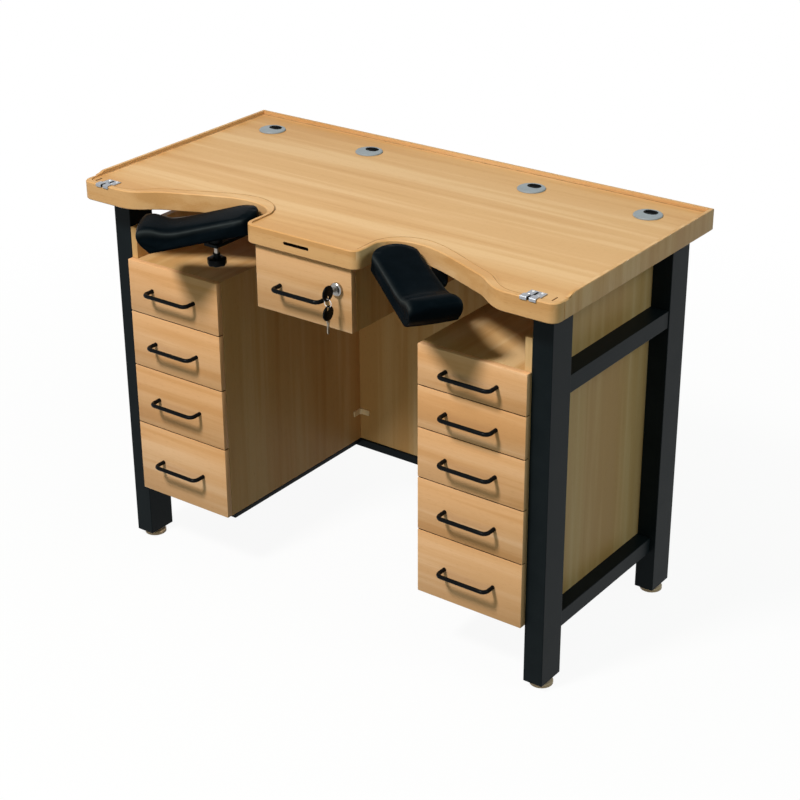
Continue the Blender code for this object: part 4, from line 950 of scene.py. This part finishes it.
def cubic(points, count=14):
    """Points on a cubic curve, without its first."""
    made = []
    for step in range(1, count + 1):
        t = step / count
        shares = ((1 - t) ** 3, 3 * t * (1 - t) ** 2, 3 * t * t * (1 - t), t**3)
        parts = list(zip(shares, points))
        made.append(tuple(sum(share * point[axis] for share, point in parts) for axis in (0, 1)))
    return made


def scoop_seam():
    """Plan of the right groove from the nose to the accessory plate."""
    start, end = (NOSE_SIDE, NOSE_END), (SCOOP_MIDDLE, SCOOP_BACK)
    round_part = [start, (start[0], start[1] + ROUND_HANDLE * (end[1] - start[1]))]
    round_part += [(end[0] - ROUND_HANDLE * (end[0] - start[0]), end[1]), end]
    run, last_run = SLOPE[0] - SCOOP_MIDDLE, WING[0] - SLOPE[0]
    lead_in = (SLOPE[0] - run * SLOPE_IN, SLOPE[1] + run * SLOPE_IN * GRADIENT)
    lead_out = (SLOPE[0] + last_run * SLOPE_OUT, SLOPE[1] - last_run * SLOPE_OUT * GRADIENT)
    path = [(NOSE_SIDE, NOSE_START), start] + cubic(round_part)
    path += cubic([end, (SCOOP_MIDDLE + run * SCOOP_HANDLE, SCOOP_BACK), lead_in, SLOPE])
    path += cubic([SLOPE, lead_out, (WING[0] - last_run * WING_HANDLE, WING[1]), WING])
    return path + [(PLATE_SIDE, WING[1])]


def make_seams():
    level = TOP_HIGH.z - RECESS
    for side, sign in SIDES.items():
        # Painted shade: a dark bead where the groove runs along the rim
        path = [(sign * x, TOP_LOW.y + y, TOP_HIGH.z - SEAM_SINK) for x, y in scoop_seam()]
        mesh = ring_mesh(f"{side}_scoop_seam", path, SEAM_RADIUS, False)
        add_piece(f"{side}_scoop_seam", mesh, "groove", "bench")
        # A short dark strip near the front of each side
        path = [(sign * SIDE_STRIP_X, TOP_LOW.y + y, level) for y in (SIDE_START, SIDE_END)]
        mesh = ring_mesh(f"{side}_side_dark_strip", path, WIDE_SEAM, False)
        add_piece(f"{side}_side_dark_strip", mesh, "seam", "bench")
    # Painted shade: a dark bead along the inner foot of the lip
    inside = TOP_HIGH.x - LIP_WIDTH - CLEARANCE
    front, back = TOP_LOW.y + LIP_START, TOP_HIGH.y - LIP_WIDTH - CLEARANCE
    path = [(-inside, front, level), (-inside, back, level), (inside, back, level), (inside, front, level)]
    mesh = ring_mesh("lip_seam", path, WIDE_SEAM, False)
    add_piece("lip_seam", mesh, "groove", "bench")


# Beech band along the outer edges, over the joint between the worktop and its lip
BAND_THICKNESS, BAND_EDGE, BAND_INSET, BAND_DROP = 0.0008, 0.0002, 0.0024, 0.0008
BAND_START, LIP_RAMP = 0.030, 0.026


def make_edge_bands():
    lip_low, lip_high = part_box("lip_rail")
    bottom, ledge, crest = TOP_LOW.z + BAND_INSET, TOP_HIGH.z - BAND_INSET, lip_high.z - BAND_DROP
    rise = (lip_low.y, ledge), (lip_low.y + LIP_RAMP / 2, ledge), (lip_low.y + LIP_RAMP / 2, crest)
    ramp = cubic([*rise, (lip_low.y + LIP_RAMP, crest)])
    front, back = TOP_LOW.y + BAND_START, TOP_HIGH.y
    outline = [(back, crest), (back, bottom), (front, bottom), (front, ledge), rise[0], *ramp]
    for side, sign in SIDES.items():
        mesh = plate_mesh(f"{side}_edge_band", [outline], BAND_THICKNESS, BAND_EDGE)
        place = Matrix.Translation((sign * (TOP_HIGH.x + BAND_THICKNESS / 2), 0, 0)) @ UPRIGHT
        add_piece(f"{side}_edge_band", mesh, "edge", "bench", place)
    left, right = TOP_LOW.x, TOP_HIGH.x
    outline = [(left, bottom), (right, bottom), (right, crest), (left, crest)]
    mesh = plate_mesh("back_edge_band", [outline], BAND_THICKNESS, BAND_EDGE)
    place = Matrix.Translation((0, back + BAND_THICKNESS / 2, 0)) @ Matrix.Rotation(math.pi / 2, 4, "X")
    add_piece("back_edge_band", mesh, "edge", "bench", place)


# Dark strips that paint the shade in the slots of the accessory plates
RIM_DEPTH, LINER_BACK, LINER_LIFT = 0.011, 0.0045, 0.001
LINER_WIDTH, LINER_THICKNESS, LINER_EDGE = 0.0051, 0.0006, 0.00005


def make_slot_shades():
    """Each strip follows the work surface, the raised rim and the front edge."""
    floor, ledge = TOP_HIGH.z - RECESS, TOP_HIGH.z
    front, step = TOP_LOW.y - CLEARANCE, TOP_LOW.y + RIM_DEPTH + CLEARANCE
    over_floor, over_ledge = floor + LINER_THICKNESS, ledge + LINER_THICKNESS
    over_front, over_step = front - LINER_THICKNESS, step + LINER_THICKNESS
    for side in SIDES:
        low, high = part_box(f"{side}_accessory_plate")
        back, bottom = high.y - LINER_BACK, low.z + LINER_LIFT
        outline = [(back, floor), (back, over_floor), (over_step, over_floor), (over_step, over_ledge)]
        outline += [(over_front, over_ledge), (over_front, bottom), (front, bottom)]
        outline += [(front, ledge), (step, ledge), (step, floor)]
        mesh = plate_mesh(f"{side}_slot_shade_strip", [outline], LINER_WIDTH, LINER_EDGE)
        place = Matrix.Translation(((low.x + high.x) / 2, 0, 0)) @ UPRIGHT
        add_piece(f"{side}_slot_shade_strip", mesh, "liner", "bench", place)


# Dark rims that paint shade around the openings of the grommets: centre, half of the straight part and radius
# of each outline
RIM_OUTSIDE, RIM_INSIDE = ((0, 0.0115), 0.0040, 0.0117), ((0, 0.013), 0.0055, 0.0077)
RIM_THICKNESS, RIM_EDGE, RIM_RISE = 0.0010, 0.0003, 0.0002


def make_grommet_shade_rims():
    for number in range(1, 5):
        low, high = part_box(f"cable_grommet_{number}")
        place = Matrix.Translation(((low.x + high.x) / 2, (low.y + high.y) / 2, high.z + RIM_RISE))
        outlines = [stadium(*RIM_OUTSIDE), stadium(*RIM_INSIDE)]
        mesh = plate_mesh(f"grommet_shade_rim_{number}", outlines, RIM_THICKNESS, RIM_EDGE)
        add_piece(f"grommet_shade_rim_{number}", mesh, "liner", "bench", place)


make_camera()
make_light()
make_floor()
dress_nodes()
make_pads()
make_keys()
make_screws()
make_seams()
make_edge_bands()
make_slot_shades()
make_grommet_shade_rims()
